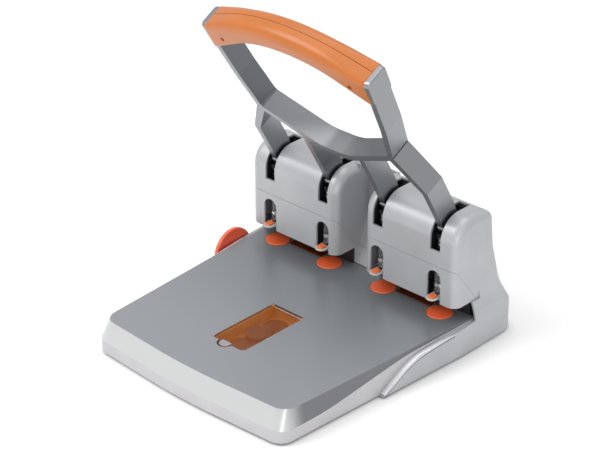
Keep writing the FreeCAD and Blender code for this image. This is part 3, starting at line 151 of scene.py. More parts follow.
class NodeSheet:
    """One material's node tree, read on Object coordinates."""

    # Sockets of a colour mix. Its sockets share their names, so they go by number.
    MIX_SHARE, MIX_FIRST, MIX_SECOND, MIX_COLOUR = 0, 6, 7, 2
    # Nearly all of a noise's values lie between these two.
    NOISE_LOW, NOISE_HIGH = 0.3, 0.7
    # Octaves of a noise: few for soft clouds, more for crisp grain.
    SOFT, CRISP = 2.0, 3.0

    def __init__(self, name: str) -> None:
        """Start a material with its shader and Object coordinates.

        Args:
            name: Name of the material.
        """
        self.material = bpy.data.materials.new(name)
        self.material.use_nodes = True
        self.tree = self.material.node_tree
        self.shader = self.tree.nodes["Principled BSDF"]
        coordinates = self.add("ShaderNodeTexCoord")
        self.place = coordinates.outputs["Object"]
        self.normal = coordinates.outputs["Normal"]

    def add(self, kind: str, settings: dict[str, object] | None = None,
            inputs: dict[str | int, object] | None = None) -> bpy.types.Node:
        """Add a node with its settings and links.

        Args:
            kind: Blender's name of the node type.
            settings: The node's own settings, by name.
            inputs: Its inputs by socket: a socket is linked, anything else is set.

        Returns:
            The new node.
        """
        node = self.tree.nodes.new(kind)
        for name, value in (settings or {}).items():
            setattr(node, name, value)
        self.feed(node, inputs or {})
        return node

    def feed(self, node: bpy.types.Node, inputs: dict[str | int, object]) -> None:
        """Give a node its inputs.

        Args:
            node: The node.
            inputs: Sockets to link and values to set, by input.
        """
        for name, value in inputs.items():
            if isinstance(value, bpy.types.NodeSocket):
                self.tree.links.new(value, node.inputs[name])
            else:
                node.inputs[name].default_value = value

    def texture(self, size_mm: float, detail: float) -> dict[str, object]:
        """Inputs of a noise whose grains have a real size.

        Args:
            size_mm: Width of a grain.
            detail: Octaves of finer noise.

        Returns:
            The inputs, by socket.
        """
        return {"Vector": self.place, "Scale": 1.0 / (size_mm * MM), "Detail": detail}

    def cloud(self, tint: Tint, texture: bpy.types.NodeSocket, spread: float) -> None:
        """Let the base colour drift a little to both sides of its tint.

        Args:
            tint: Middle colour.
            texture: Noise that drives the drift.
            spread: Share by which the colour darkens and lightens.
        """
        red, green, blue, alpha = linear(tint)
        dark, light = ([min(1.0, part * share) for part in (red, green, blue)] + [alpha]
                       for share in (1.0 - spread, 1.0 + spread))
        share = self.add("ShaderNodeMapRange", inputs={
            "Value": texture, "From Min": self.NOISE_LOW, "From Max": self.NOISE_HIGH})
        mix = self.add("ShaderNodeMix", {"data_type": "RGBA"}, {
            self.MIX_SHARE: share.outputs["Result"], self.MIX_FIRST: dark,
            self.MIX_SECOND: light})
        self.feed(self.shader, {"Base Color": mix.outputs[self.MIX_COLOUR]})

    def grain(self, texture: bpy.types.NodeSocket, roughness: float, swing: float,
              height_mm: float) -> None:
        """Let a fine texture show in the gloss and in the relief.

        Args:
            texture: The fine texture.
            roughness: Middle roughness.
            swing: How far the roughness goes to both sides.
            height_mm: Height of the relief's full range.
        """
        gloss = self.add("ShaderNodeMapRange", inputs={
            "Value": texture, "From Min": self.NOISE_LOW, "From Max": self.NOISE_HIGH,
            "To Min": roughness - swing, "To Max": roughness + swing})
        relief = self.add("ShaderNodeBump", inputs={
            "Height": texture, "Strength": 1.0, "Distance": height_mm * MM})
        self.feed(self.shader, {"Roughness": gloss.outputs["Result"],
                                "Normal": relief.outputs["Normal"]})

    def fade(self, axis: str, span_mm: tuple[float, float], first: object, second: object
             ) -> bpy.types.NodeSocket:
        """Fade from one colour to another along one axis.

        Args:
            axis: X, Y or Z.
            span_mm: Where the first colour ends, and where the second is reached.
            first: First colour, as four values or a socket.
            second: Second colour, as four values or a socket.

        Returns:
            The faded colour's socket.
        """
        parts = self.add("ShaderNodeSeparateXYZ", inputs={"Vector": self.place})
        share = self.add("ShaderNodeMapRange", {"interpolation_type": "SMOOTHSTEP"}, {
            "Value": parts.outputs[axis], "From Min": span_mm[0] * MM,
            "From Max": span_mm[1] * MM})
        mix = self.add("ShaderNodeMix", {"data_type": "RGBA"}, {
            self.MIX_SHARE: share.outputs["Result"], self.MIX_FIRST: first,
            self.MIX_SECOND: second})
        return mix.outputs[self.MIX_COLOUR]


@dataclass(frozen=True)
class MouldedPlastic:
    """Injection-moulded plastic. Its tool is spark-eroded, which leaves a fine even grain.

    The real grain is under 0.1 mm across and can't be made out from where the machine is
    seen, so it is drawn at 0.35 mm.
    """

    name: str
    tint: Tint
    roughness: float = 0.42
    flake: float = 0.0
    coat: float = 0.0
    coat_roughness: float = 0.25
    spread: float = 0.05
    swing: float = 0.05
    grain_mm: float = 0.35
    grain_height_mm: float = 0.012
    cloud_mm: float = 38.0

    def make(self) -> bpy.types.Material:
        """Build the material.

        Returns:
            The material.
        """
        sheet = NodeSheet(self.name)
        grain = sheet.add("ShaderNodeTexNoise", inputs=sheet.texture(self.grain_mm, sheet.CRISP))
        cloud = sheet.add("ShaderNodeTexNoise",
                          inputs=sheet.texture(self.cloud_mm, sheet.SOFT))
        sheet.cloud(self.tint, cloud.outputs["Fac"], self.spread)
        sheet.grain(grain.outputs["Fac"], self.roughness, self.swing, self.grain_height_mm)
        sheet.feed(sheet.shader, {"Metallic": self.flake, "Coat Weight": self.coat,
                                  "Coat Roughness": self.coat_roughness})
        return sheet.material


@dataclass(frozen=True)
class FineMetal:
    """Bare metal that was drawn, rolled, plated or ground, with tool marks and some tarnish.

    Real tool marks are some hundredths of a millimetre wide. They are drawn at 0.25 mm, the
    finest that still breaks up a highlight.
    """

    name: str
    tint: Tint
    roughness: float = 0.3
    swing: float = 0.06
    tarnish: float = 0.06
    tarnish_mm: float = 24.0
    mark_mm: float = 0.25
    mark_height_mm: float = 0.006

    def make(self) -> bpy.types.Material:
        """Build the material.

        Returns:
            The material.
        """
        sheet = NodeSheet(self.name)
        marks = sheet.add("ShaderNodeTexNoise", inputs=sheet.texture(self.mark_mm, sheet.SOFT))
        cloud = sheet.add("ShaderNodeTexNoise",
                          inputs=sheet.texture(self.tarnish_mm, sheet.CRISP))
        sheet.cloud(self.tint, cloud.outputs["Fac"], self.tarnish)
        sheet.grain(marks.outputs["Fac"], self.roughness, self.swing, self.mark_height_mm)
        sheet.feed(sheet.shader, {"Metallic": 1.0})
        return sheet.material


@dataclass(frozen=True)
class ClearPlastic:
    """Clear plastic from a polished tool, with faint waves about 10 mm long from the flow.

    A thick piece bends the light that crosses it. A thin sheet only tints it: it covers a
    part of what lies below, which stays sharp.
    """

    name: str
    tint: Tint
    clearness: float = 0.0
    cover: float = 1.0
    ior: float = 1.5
    mirror: float = 0.5
    roughness: float = 0.12
    spread: float = 0.1
    wave_mm: float = 11.0
    wave_height_mm: float = 0.02

    def make(self) -> bpy.types.Material:
        """Build the material.

        Returns:
            The material.
        """
        sheet = NodeSheet(self.name)
        waves = sheet.add("ShaderNodeTexNoise", inputs=sheet.texture(self.wave_mm, sheet.SOFT))
        relief = sheet.add("ShaderNodeBump", inputs={
            "Height": waves.outputs["Fac"], "Strength": 1.0,
            "Distance": self.wave_height_mm * MM})
        sheet.cloud(self.tint, waves.outputs["Fac"], self.spread)
        sheet.feed(sheet.shader, {
            "Normal": relief.outputs["Normal"], "Transmission Weight": self.clearness,
            "Alpha": self.cover, "IOR": self.ior, "Roughness": self.roughness,
            "Specular IOR Level": self.mirror})
        return sheet.material


@dataclass(frozen=True)
class CastMetal:
    """Die-cast aluminium, blasted fine. The inward faces of the loop are painted darker, as
    painted shade.

    The blasting grit leaves dimples of about 0.1 mm, drawn at 0.4 mm so that they show.
    """

    name: str
    outer: Tint
    # The inner tint is painted shade on the loop's inward faces.
    inner: Tint
    roughness: float = 0.34
    swing: float = 0.05
    grain_mm: float = 0.4
    grain_height_mm: float = 0.012
    # Where the painted shade lies: faces turned in towards the loop's middle, fading out above
    # the legs.
    loop_centre: Triple = (0.0, 13.0, 296.5)
    loop_fade: tuple[float, float] = (-50.0, -15.0)
    legs_fade: tuple[float, float] = (205.0, 225.0)

    def make(self) -> bpy.types.Material:
        """Build the material.

        Returns:
            The material.
        """
        sheet = NodeSheet(self.name)
        # Painted shade: faces that look in towards the loop's middle take the inner tint.
        away = sheet.add("ShaderNodeVectorMath", {"operation": "SUBTRACT"}, {
            0: sheet.place, 1: metres(self.loop_centre)})
        facing = sheet.add("ShaderNodeVectorMath", {"operation": "DOT_PRODUCT"}, {
            0: away.outputs["Vector"], 1: sheet.normal})
        shade_share = sheet.add("ShaderNodeMapRange", inputs={
            "Value": facing.outputs["Value"], "From Min": self.loop_fade[0] * MM,
            "From Max": self.loop_fade[1] * MM})
        loop = sheet.add("ShaderNodeMix", {"data_type": "RGBA"}, {
            sheet.MIX_SHARE: shade_share.outputs["Result"],
            sheet.MIX_FIRST: linear(self.inner), sheet.MIX_SECOND: linear(self.outer)})
        # The painted shade fades out below the loop, so the legs keep the outer tint.
        colour = sheet.fade("Z", self.legs_fade, linear(self.outer),
                            loop.outputs[sheet.MIX_COLOUR])
        grain = sheet.add("ShaderNodeTexNoise", inputs=sheet.texture(self.grain_mm, sheet.CRISP))
        sheet.grain(grain.outputs["Fac"], self.roughness, self.swing, self.grain_height_mm)
        sheet.feed(sheet.shader, {"Base Color": colour, "Metallic": 1.0})
        return sheet.material


@dataclass(frozen=True)
class TablePaint:
    """Sprayed satin enamel with metal flake, one colour all over, with light and shade painted
    in.

    The plate and the sides are painted darker as painted shade, and the apron in front is
    painted lighter as painted light. The plate is painted lighter towards the front edge and
    darker towards the heads. The flakes are some hundredths of a millimetre across, and their
    grain is drawn at 0.35 mm so that it shows.
    """

    name: str
    # Painted light and shade: the plate's rear and front, the lit apron and the shaded sides.
    plate_rear: Tint
    plate_front: Tint
    apron: Tint
    side: Tint
    roughness: float = 0.34
    swing: float = 0.04
    flake: float = 0.35
    coat: float = 0.15
    coat_roughness: float = 0.25
    grain_mm: float = 0.35
    grain_height_mm: float = 0.01
    # Spans over which the painted light and shade fade, along the machine and up to the plate's
    # edge.
    plate_fade: tuple[float, float] = (-150.0, 90.0)
    skirt_fade: tuple[float, float] = (-168.0, -138.0)
    edge_fade: tuple[float, float] = (37.3, 37.9)

    def make(self) -> bpy.types.Material:
        """Build the material.

        Returns:
            The material.
        """
        sheet = NodeSheet(self.name)
        # Painted light and shade on the plate: lighter at the front, darker towards the heads.
        plate = sheet.fade("Y", self.plate_fade, linear(self.plate_front),
                           linear(self.plate_rear))
        # Painted light on the apron in front, painted shade on the sides.
        skirt = sheet.fade("Y", self.skirt_fade, linear(self.apron), linear(self.side))
        grain = sheet.add("ShaderNodeTexNoise", inputs=sheet.texture(self.grain_mm, sheet.CRISP))
        sheet.grain(grain.outputs["Fac"], self.roughness, self.swing, self.grain_height_mm)
        sheet.feed(sheet.shader, {
            "Base Color": sheet.fade("Z", self.edge_fade, skirt, plate),
            "Metallic": self.flake, "Coat Weight": self.coat,
            "Coat Roughness": self.coat_roughness})
        return sheet.material


@dataclass(frozen=True)
class SoftRubber:
    """Matt moulded rubber, with dust in a grain of 0.6 mm."""

    name: str
    tint: Tint
    roughness: float = 0.8
    swing: float = 0.1
    dust: float = 0.15
    dust_mm: float = 7.0
    grain_mm: float = 0.6
    grain_height_mm: float = 0.03

    def make(self) -> bpy.types.Material:
        """Build the material.

        Returns:
            The material.
        """
        sheet = NodeSheet(self.name)
        grain = sheet.add("ShaderNodeTexNoise", inputs=sheet.texture(self.grain_mm, sheet.CRISP))
        cloud = sheet.add("ShaderNodeTexNoise", inputs=sheet.texture(self.dust_mm, sheet.CRISP))
        sheet.cloud(self.tint, cloud.outputs["Fac"], self.dust)
        sheet.grain(grain.outputs["Fac"], self.roughness, self.swing, self.grain_height_mm)
        return sheet.material


@dataclass(frozen=True)
class Backdrop:
    """Matt seamless paper, a little uneven over some 400 mm."""

    name: str
    tint: Tint
    roughness: float = 0.9
    spread: float = 0.004
    cloud_mm: float = 400.0

    def make(self) -> bpy.types.Material:
        """Build the material.

        Returns:
            The material.
        """
        sheet = NodeSheet(self.name)
        cloud = sheet.add("ShaderNodeTexNoise", inputs=sheet.texture(self.cloud_mm, sheet.CRISP))
        sheet.cloud(self.tint, cloud.outputs["Fac"], self.spread)
        sheet.feed(sheet.shader, {"Roughness": self.roughness})
        return sheet.material


class Coat(Enum):
    """Finishes of the machine, each named for what the real one is; some also paint light or
    shade into their colour.
    """

    # Metal flake in the plastic spreads each highlight into a silvery sheen.
    SHELL = MouldedPlastic("silver flake ABS, moulded", Tint.SHELL, 0.43, flake=0.35, coat=0.1)
    # Satin paint of one colour, with painted light and shade: the plate darker towards the heads
    # and lighter in front, a lit apron under it and shaded sides.
    PLATE = TablePaint("satin flake enamel on steel, sprayed", Tint.PLATE_REAR,
                       Tint.PLATE_FRONT, Tint.APRON, Tint.SIDE)
    # Lighter than the shell, so the foot of the machine stands off from the table.
    BAND = MouldedPlastic("light flake ABS, moulded", Tint.BAND, 0.4, flake=0.3)
    # Smoother than the shell, and lighter in colour as a painted highlight, so the wing's edge
    # draws one bright line.
    LIP = MouldedPlastic("bright flake ABS, moulded and rubbed", Tint.LIP, 0.3, flake=0.35,
                         coat=0.3)
    # Slippery and a little waxy, with broad dull highlights.
    TAB = MouldedPlastic("grey acetal, moulded", Tint.TAB, 0.35)
    # Blasting breaks the metal's mirror into a satin. The inward faces of the loop are painted
    # darker as painted shade; the legs keep the lighter tint.
    CAST = CastMetal("die-cast aluminium, fine-blasted", Tint.CAST, Tint.CAST_INNER)
    # Warm orange, with a thin gloss over the grain where hands polish it.
    GRIP = MouldedPlastic("orange ABS, moulded and handled", Tint.GRIP, 0.4, coat=0.25)
    # Soft strong red-orange that scatters light inside and shines little.
    DISC = MouldedPlastic("red-orange polyethylene, moulded", Tint.DISC, 0.35)
    # Harder and glossier than the cutting discs.
    SIDE_DISC = MouldedPlastic("red polystyrene, moulded", Tint.SIDE_DISC, 0.3)
    # Small bright orange spots in the windows.
    INSERT = MouldedPlastic("orange polyamide, moulded", Tint.INSERT, 0.35)
    # Thin clear sheet that turns the tray and the discs below it amber.
    AMBER = ClearPlastic("amber polycarbonate sheet, moulded", Tint.AMBER, cover=0.26,
                         mirror=0.25)
    # The same plastic, thicker and so nearly brown.
    STOP = ClearPlastic("deep amber polycarbonate, moulded", Tint.STOP, cover=0.8, mirror=0.25)
    # Dull dark plastic that closes the throat.
    BLACK = MouldedPlastic("black ABS, moulded", Tint.BLACK, 0.55)
    # Painted shade: a near-black sheet inside each lever slot, duller still, so the slots read
    # as deep holes.
    LINING = MouldedPlastic("black polypropylene, moulded", Tint.BLACK, 0.6)
    # Painted shadow: a dark strip laid in the groove behind the wing's bead, where shade falls.
    GROOVE = MouldedPlastic("dark grey polypropylene, moulded", Tint.FRAME, 0.6)
    # Clear as glass, with a thin bright outline round each punch.
    CLEAR = ClearPlastic("clear acrylic, moulded", Tint.CLEAR, clearness=0.95, ior=1.49,
                         roughness=0.08, spread=0.08, wave_mm=9.0)
    # Dark and glossy, so that each spare disc shows its outline through the lid.
    SPARE = MouldedPlastic("brown polyethylene, moulded", Tint.SPARE, 0.3, coat=0.5)
    # Light tan under the amber lid, which makes the lid glow.
    WELL = MouldedPlastic("tan polypropylene, moulded", Tint.WELL, 0.45)
    # Heat-blued and oiled: nearly black, with small sharp glints.
    SPRING = FineMetal("spring steel, oil-blackened", Tint.SPRING, 0.4)
    # Dark paint with a metallic bloom over the steel frame.
    FRAME = MouldedPlastic("grey primer on plate steel, sprayed", Tint.FRAME, 0.45, flake=0.6)
    # Zinc: a cool grey shine, blurred by the rolled sheet below it.
    STEEL = FineMetal("sheet steel, zinc-plated", Tint.STEEL, 0.32)
    # Close to a mirror, with the finest grinding marks.
    BRIGHT = FineMetal("tool steel, ground", Tint.BRIGHT, 0.16)
    # Warm brown-yellow with a turned surface.
    BRONZE = FineMetal("bearing bronze, turned", Tint.BRONZE, 0.3)
    # Gives nearly no highlight at all.
    RUBBER = SoftRubber("nitrile rubber, moulded", Tint.RUBBER)
    # Even and shadow-soft, with no pattern of its own.
    FLOOR = Backdrop("seamless paper, matt", Tint.FLOOR)


class Element(Enum):
    """Kinds of mesh element, each with bmesh's word for it."""

    VERT = "verts"
    EDGE = "edges"
    FACE = "faces"


@dataclass(frozen=True)
class Ring:
    """One section of a lofted form: an oval, or a box with round corners where it has them."""

    place: Triple
    turn: Triple
    half_x: float
    half_y: float
    corner: float = 0.0


class Bench:
    """Modelling bench: short ways to use the mesh operators on one piece."""

    MERGE_MM = 0.002
    FLAT_DEGREES = 1.0
    CREASE_DEGREES = 32.0
    CORNER_WEIGHT = 80
    NEAR_MM = 0.01

    @staticmethod
    def hold(item: bpy.types.Object) -> None:
        """Select one object alone and make it the active one.

        Args:
            item: The object.
        """
        bpy.ops.object.select_all(action="DESELECT")
        item.select_set(True)
        bpy.context.view_layer.objects.active = item

    @staticmethod
    def open(item: bpy.types.Object, kind: Element = Element.FACE, whole: bool = False) -> None:
        """Open a mesh for editing, with nothing or all of it selected.

        Args:
            item: The piece.
            kind: Kind of element that is selected.
            whole: Whether all of it is selected.
        """
        Bench.hold(item)
        bpy.ops.object.mode_set(mode="EDIT")
        bpy.ops.mesh.select_mode(type=kind.name)
        bpy.ops.mesh.select_all(action="SELECT" if whole else "DESELECT")

    @staticmethod
    def pick(item: bpy.types.Object, kind: Element, test: Callable[..., bool]) -> None:
        """Select the open mesh's elements that pass a test, and no others.

        Args:
            item: The piece, open for editing.
            kind: Kind of element.
            test: Tells whether an element is wanted.
        """
        mesh = bmesh.from_edit_mesh(item.data)
        bpy.ops.mesh.select_all(action="DESELECT")
        for element in getattr(mesh, kind.value):
            if test(element):
                element.select_set(True)
        mesh.select_flush_mode()
        bmesh.update_edit_mesh(item.data)

    @staticmethod
    def close() -> None:
        """Leave edit mode."""
        bpy.ops.object.mode_set(mode="OBJECT")

    @staticmethod
    def apply(item: bpy.types.Object, kind: str, **values: object) -> None:
        """Add a modifier with its settings and apply it.

        Args:
            item: The piece.
            kind: Blender's name of the modifier type.
            **values: Settings of the modifier.
        """
        Bench.hold(item)
        modifier = item.modifiers.new(kind.lower(), kind)
        for name, value in values.items():
            setattr(modifier, name, value)
        bpy.ops.object.modifier_apply(modifier=modifier.name)

    @staticmethod
    def smooth(item: bpy.types.Object, crease: float = CREASE_DEGREES) -> None:
        """Shade a piece smooth except over sharp edges, with its large faces flat.

        Args:
            item: The piece.
            crease: Smallest angle that stays sharp, in degrees.
        """
        Bench.hold(item)
        bpy.ops.object.shade_smooth_by_angle(angle=math.radians(crease))
        Bench.apply(item, "WEIGHTED_NORMAL", keep_sharp=True, weight=Bench.CORNER_WEIGHT)

    @staticmethod
    def place(name: str, mesh: bpy.types.Mesh) -> bpy.types.Object:
        """Put a mesh into the scene as a piece at the origin.

        Args:
            name: Name of the piece.
            mesh: Its mesh.

        Returns:
            The piece.
        """
        item = bpy.data.objects.new(name, mesh)
        bpy.context.scene.collection.objects.link(item)
        mesh.name = name
        return item

    @staticmethod
    def rename(item: bpy.types.Object, name: str) -> None:
        """Name a piece and its mesh."""
        item.name = item.data.name = name

    @staticmethod
    def settle(item: bpy.types.Object, name: str) -> bpy.types.Object:
        """Name a piece and put its place, turn and scale into its mesh.

        Args:
            item: The piece.
            name: Its name.

        Returns:
            The piece.
        """
        Bench.hold(item)
        bpy.ops.object.transform_apply(location=True, rotation=True, scale=True)
        Bench.rename(item, name)
        return item

    @staticmethod
    def outline(ring: Ring, sides: int, name: str) -> bpy.types.Object:
        """Model the open outline of one ring.

        Args:
            ring: The ring.
            sides: Edges of an oval, or of each round corner.
            name: Name of the outline.

        Returns:
            The outline.
        """
        where = {"location": metres(ring.place), "rotation": ring.turn}
        if ring.corner:
            bpy.ops.mesh.primitive_plane_add(size=2 * MM, **where)
        else:
            bpy.ops.mesh.primitive_circle_add(vertices=sides, radius=MM, **where)
        loop = bpy.context.active_object
        loop.scale = (ring.half_x, ring.half_y, 1.0)
        Bench.settle(loop, name)
        if ring.corner:
            Bench.open(loop, Element.VERT, whole=True)
            bpy.ops.mesh.bevel(offset=ring.corner * MM, segments=sides, affect="VERTICES")
            bpy.ops.mesh.select_all(action="SELECT")
            bpy.ops.mesh.delete(type="ONLY_FACE")
            Bench.close()
        return loop

    @staticmethod
    def loft(name: str, rings: list[Ring], sides: int) -> bpy.types.Object:
        """Bridge a row of rings into one closed form.

        Args:
            name: Name of the piece.
            rings: The rings in order.
            sides: Edges of each oval, or of each round corner.

        Returns:
            The closed piece, with its faces outwards.
        """
        bpy.ops.object.select_all(action="DESELECT")
        loops = [Bench.outline(ring, sides, name) for ring in rings]
        bpy.ops.object.select_all(action="DESELECT")
        for loop in loops:
            loop.select_set(True)
        bpy.ops.object.join()
        item = bpy.context.active_object
        Bench.rename(item, name)
        Bench.open(item, Element.EDGE, whole=True)
        bpy.ops.mesh.bridge_edge_loops()
        bpy.ops.mesh.select_all(action="SELECT")
        bpy.ops.mesh.fill_holes(sides=0)
        bpy.ops.mesh.normals_make_consistent(inside=False)
        Bench.close()
        return item

    @staticmethod
    def round_edges(item: bpy.types.Object, radius_mm: float, segments: int = 3,
                    sharp: float = CREASE_DEGREES) -> None:
        """Round a piece's sharp edges and shade it.

        Args:
            item: The piece.
            radius_mm: Radius of the rounding.
            segments: Facets across the rounding.
            sharp: Smallest angle of an edge that is rounded, in degrees.
        """
        Bench.apply(item, "BEVEL", width=radius_mm * MM, segments=segments,
                    limit_method="ANGLE", angle_limit=math.radians(sharp),
                    use_clamp_overlap=True)
        Bench.smooth(item)

    @staticmethod
    def outward(item: bpy.types.Object) -> None:
        """Turn all faces outwards.

        Args:
            item: The piece.
        """
        Bench.open(item, whole=True)
        bpy.ops.mesh.normals_make_consistent(inside=False)
        Bench.close()

    @staticmethod
    def copy_of(node: str, name: str) -> bpy.types.Object:
        """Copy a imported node's mesh, with its doubles merged and its flat faces joined.

        Args:
            node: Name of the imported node.
            name: Name of the new piece.

        Returns:
            The new piece.
        """
        item = Bench.place(name, frame["nodes"][node].data.copy())
        Bench.open(item, Element.VERT, whole=True)
        bpy.ops.mesh.remove_doubles(threshold=Bench.MERGE_MM * MM)
        bpy.ops.mesh.dissolve_limited(angle_limit=math.radians(Bench.FLAT_DEGREES))
        Bench.close()
        return item


@dataclass(frozen=True)
class Row:
    """The row of punch stations across the machine."""

    stations: tuple[float, ...] = (-120.0, -40.0, 40.0, 120.0)
    punch_line: float = 90.0

    @property
    def first(self) -> float:
        """Place of the first station across the machine."""
        return self.stations[0]

    def spread(self, first: bpy.types.Object, name: str) -> list[bpy.types.Object]:
        """Copy a piece from the first station to the others, each with its own mesh.

        Args:
            first: The finished piece at the first station.
            name: Name of each piece, with {} for the station's number.

        Returns:
            The pieces in order, the first among them.
        """
        Bench.rename(first, name.format(1))
        items = [first]
        for number, station in enumerate(self.stations[1:], start=2):
            item = Bench.place(name.format(number), first.data.copy())
            item.data.transform(Matrix.Translation(metres((station - self.first, 0.0, 0.0))))
            items.append(item)
        return items


@dataclass
class Dresser:
    """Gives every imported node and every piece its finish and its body."""

    made: dict[Coat, bpy.types.Material] = field(default_factory=dict)
    coats: tuple[tuple[str, Coat], ...] = (
        ("head_cover", Coat.SHELL), ("nose_panel", Coat.SHELL), ("rear_housing", Coat.SHELL),
        ("chip_drawer", Coat.SHELL), ("table_top", Coat.PLATE), ("base_shell", Coat.BAND),
        ("lever_casting", Coat.CAST), ("grip_screws", Coat.BLACK), ("grip_", Coat.GRIP),
        ("cutting_disc", Coat.DISC), ("spare_discs", Coat.SPARE),
        ("side_guide_disc", Coat.SIDE_DISC), ("tab_insert", Coat.INSERT),
        ("disc_lid", Coat.AMBER), ("paper_stop", Coat.STOP), ("disc_well", Coat.WELL),
        ("throat_liners", Coat.BLACK), ("guide_sleeve", Coat.BLACK),
        ("release_tab", Coat.TAB), ("head_frame", Coat.FRAME), ("bottom_cover", Coat.STEEL),
        ("return_spring", Coat.SPRING), ("punch_head", Coat.SPRING),
        ("die_plate", Coat.STEEL), ("lid_lift_tab", Coat.STEEL),
        ("stripper_plate", Coat.STEEL), ("guide_bushes", Coat.BRONZE),
        ("rubber_feet", Coat.RUBBER), ("hinge_shafts", Coat.SPRING),
        ("shaft_", Coat.SPRING),
    )

    def coat_of(self, node: str) -> Coat:
        """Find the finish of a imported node.

        Args:
            node: Name of the node.

        Returns:
            Its finish; ground steel where nothing else is stated.
        """
        for start, coat in self.coats:
            if node.startswith(start):
                return coat
        return Coat.BRIGHT

    def dress(self, item: bpy.types.Object, coat: Coat) -> None:
        """Give a piece one finish and nothing else.

        Args:
            item: The piece.
            coat: The finish.
        """
        if coat not in self.made:
            self.made[coat] = coat.value.make()
        item.data.materials.clear()
        item.data.materials.append(self.made[coat])

    def fit(self, item: bpy.types.Object, node: str, body: str = "") -> None:
        """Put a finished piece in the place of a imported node.

        Args:
            item: The piece.
            node: The node that it stands for.
            body: The body that it moves with; the node's own where none is given.
        """
        self.dress(item, self.coat_of(node))
        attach(item, body or frame["nodes"][node]["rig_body"])
        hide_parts(node)
        LOG.info("%s stands for %s, %d faces", item.name, node, len(item.data.polygons))

    def add(self, item: bpy.types.Object, coat: Coat, body: str, slot: str = "") -> None:
        """Put a finished piece that stands for no node on a body.

        Args:
            item: The piece.
            coat: Its finish.
            body: The body that it moves with.
            slot: The record's material slot that it is painted as, where it has one. Not used.
        """
        self.dress(item, coat)
        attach(item, body)
        LOG.info("%s rides on %s, %d faces", item.name, body, len(item.data.polygons))

    def dress_nodes(self) -> None:
        """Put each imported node's finish on it."""
        for node, item in frame["nodes"].items():
            self.dress(item, self.coat_of(node))
            LOG.info("%s: %s", node, self.coat_of(node).value.name)


@dataclass
class Castings:
    """Moulded, cast and pressed parts whose sharp edges get their real small radius."""

    radii: tuple[tuple[str, float], ...] = (
        ("lever_casting", 2.0), ("head_cover_", 0.5), ("nose_panel_", 0.3),
        ("rear_housing", 0.7), ("base_shell", 0.8), ("table_top", 0.8), ("chip_drawer", 0.6),
        ("disc_well", 0.4), ("release_tab_", 0.5), ("tab_insert_", 0.35), ("disc_lid", 0.35),
        ("lid_lift_tab", 0.25), ("paper_stop_", 0.3), ("spare_discs", 0.5),
        ("bottom_cover", 0.6), ("rubber_feet", 1.0), ("side_guide_rod", 0.4),
        ("stripper_plate_", 0.3),
    )
    lip_reach: float = 7.0
    lip_rise: float = 2.2
    lip_skin: float = 0.1

    def build(self, dresser: Dresser) -> None:
        """Copy each part, round its edges and put it in its node's place.

        Args:
            dresser: Gives the finish and the place.
        """
        for start, radius in self.radii:
            for node in sorted(name for name in frame["nodes"] if name.startswith(start)):
                item = Bench.copy_of(node, f"{node}_soft")
                if node.startswith("release_tab"):
                    self.thin_lip(item, node)
                Bench.round_edges(item, radius)
                dresser.fit(item, node)

    def thin_lip(self, item: bpy.types.Object, node: str) -> None:
        """Thin the finger lip of a release tab from below.

        Args:
            item: The tab's piece.
            node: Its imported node.
        """
        low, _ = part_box(node)
        Bench.open(item, Element.VERT)
        Bench.pick(item, Element.VERT, lambda vert: vert.co.z < low.z + self.lip_skin * MM
                   and vert.co.y < low.y + self.lip_reach * MM)
        bpy.ops.transform.translate(value=(0.0, 0.0, self.lip_rise * MM))
        Bench.close()


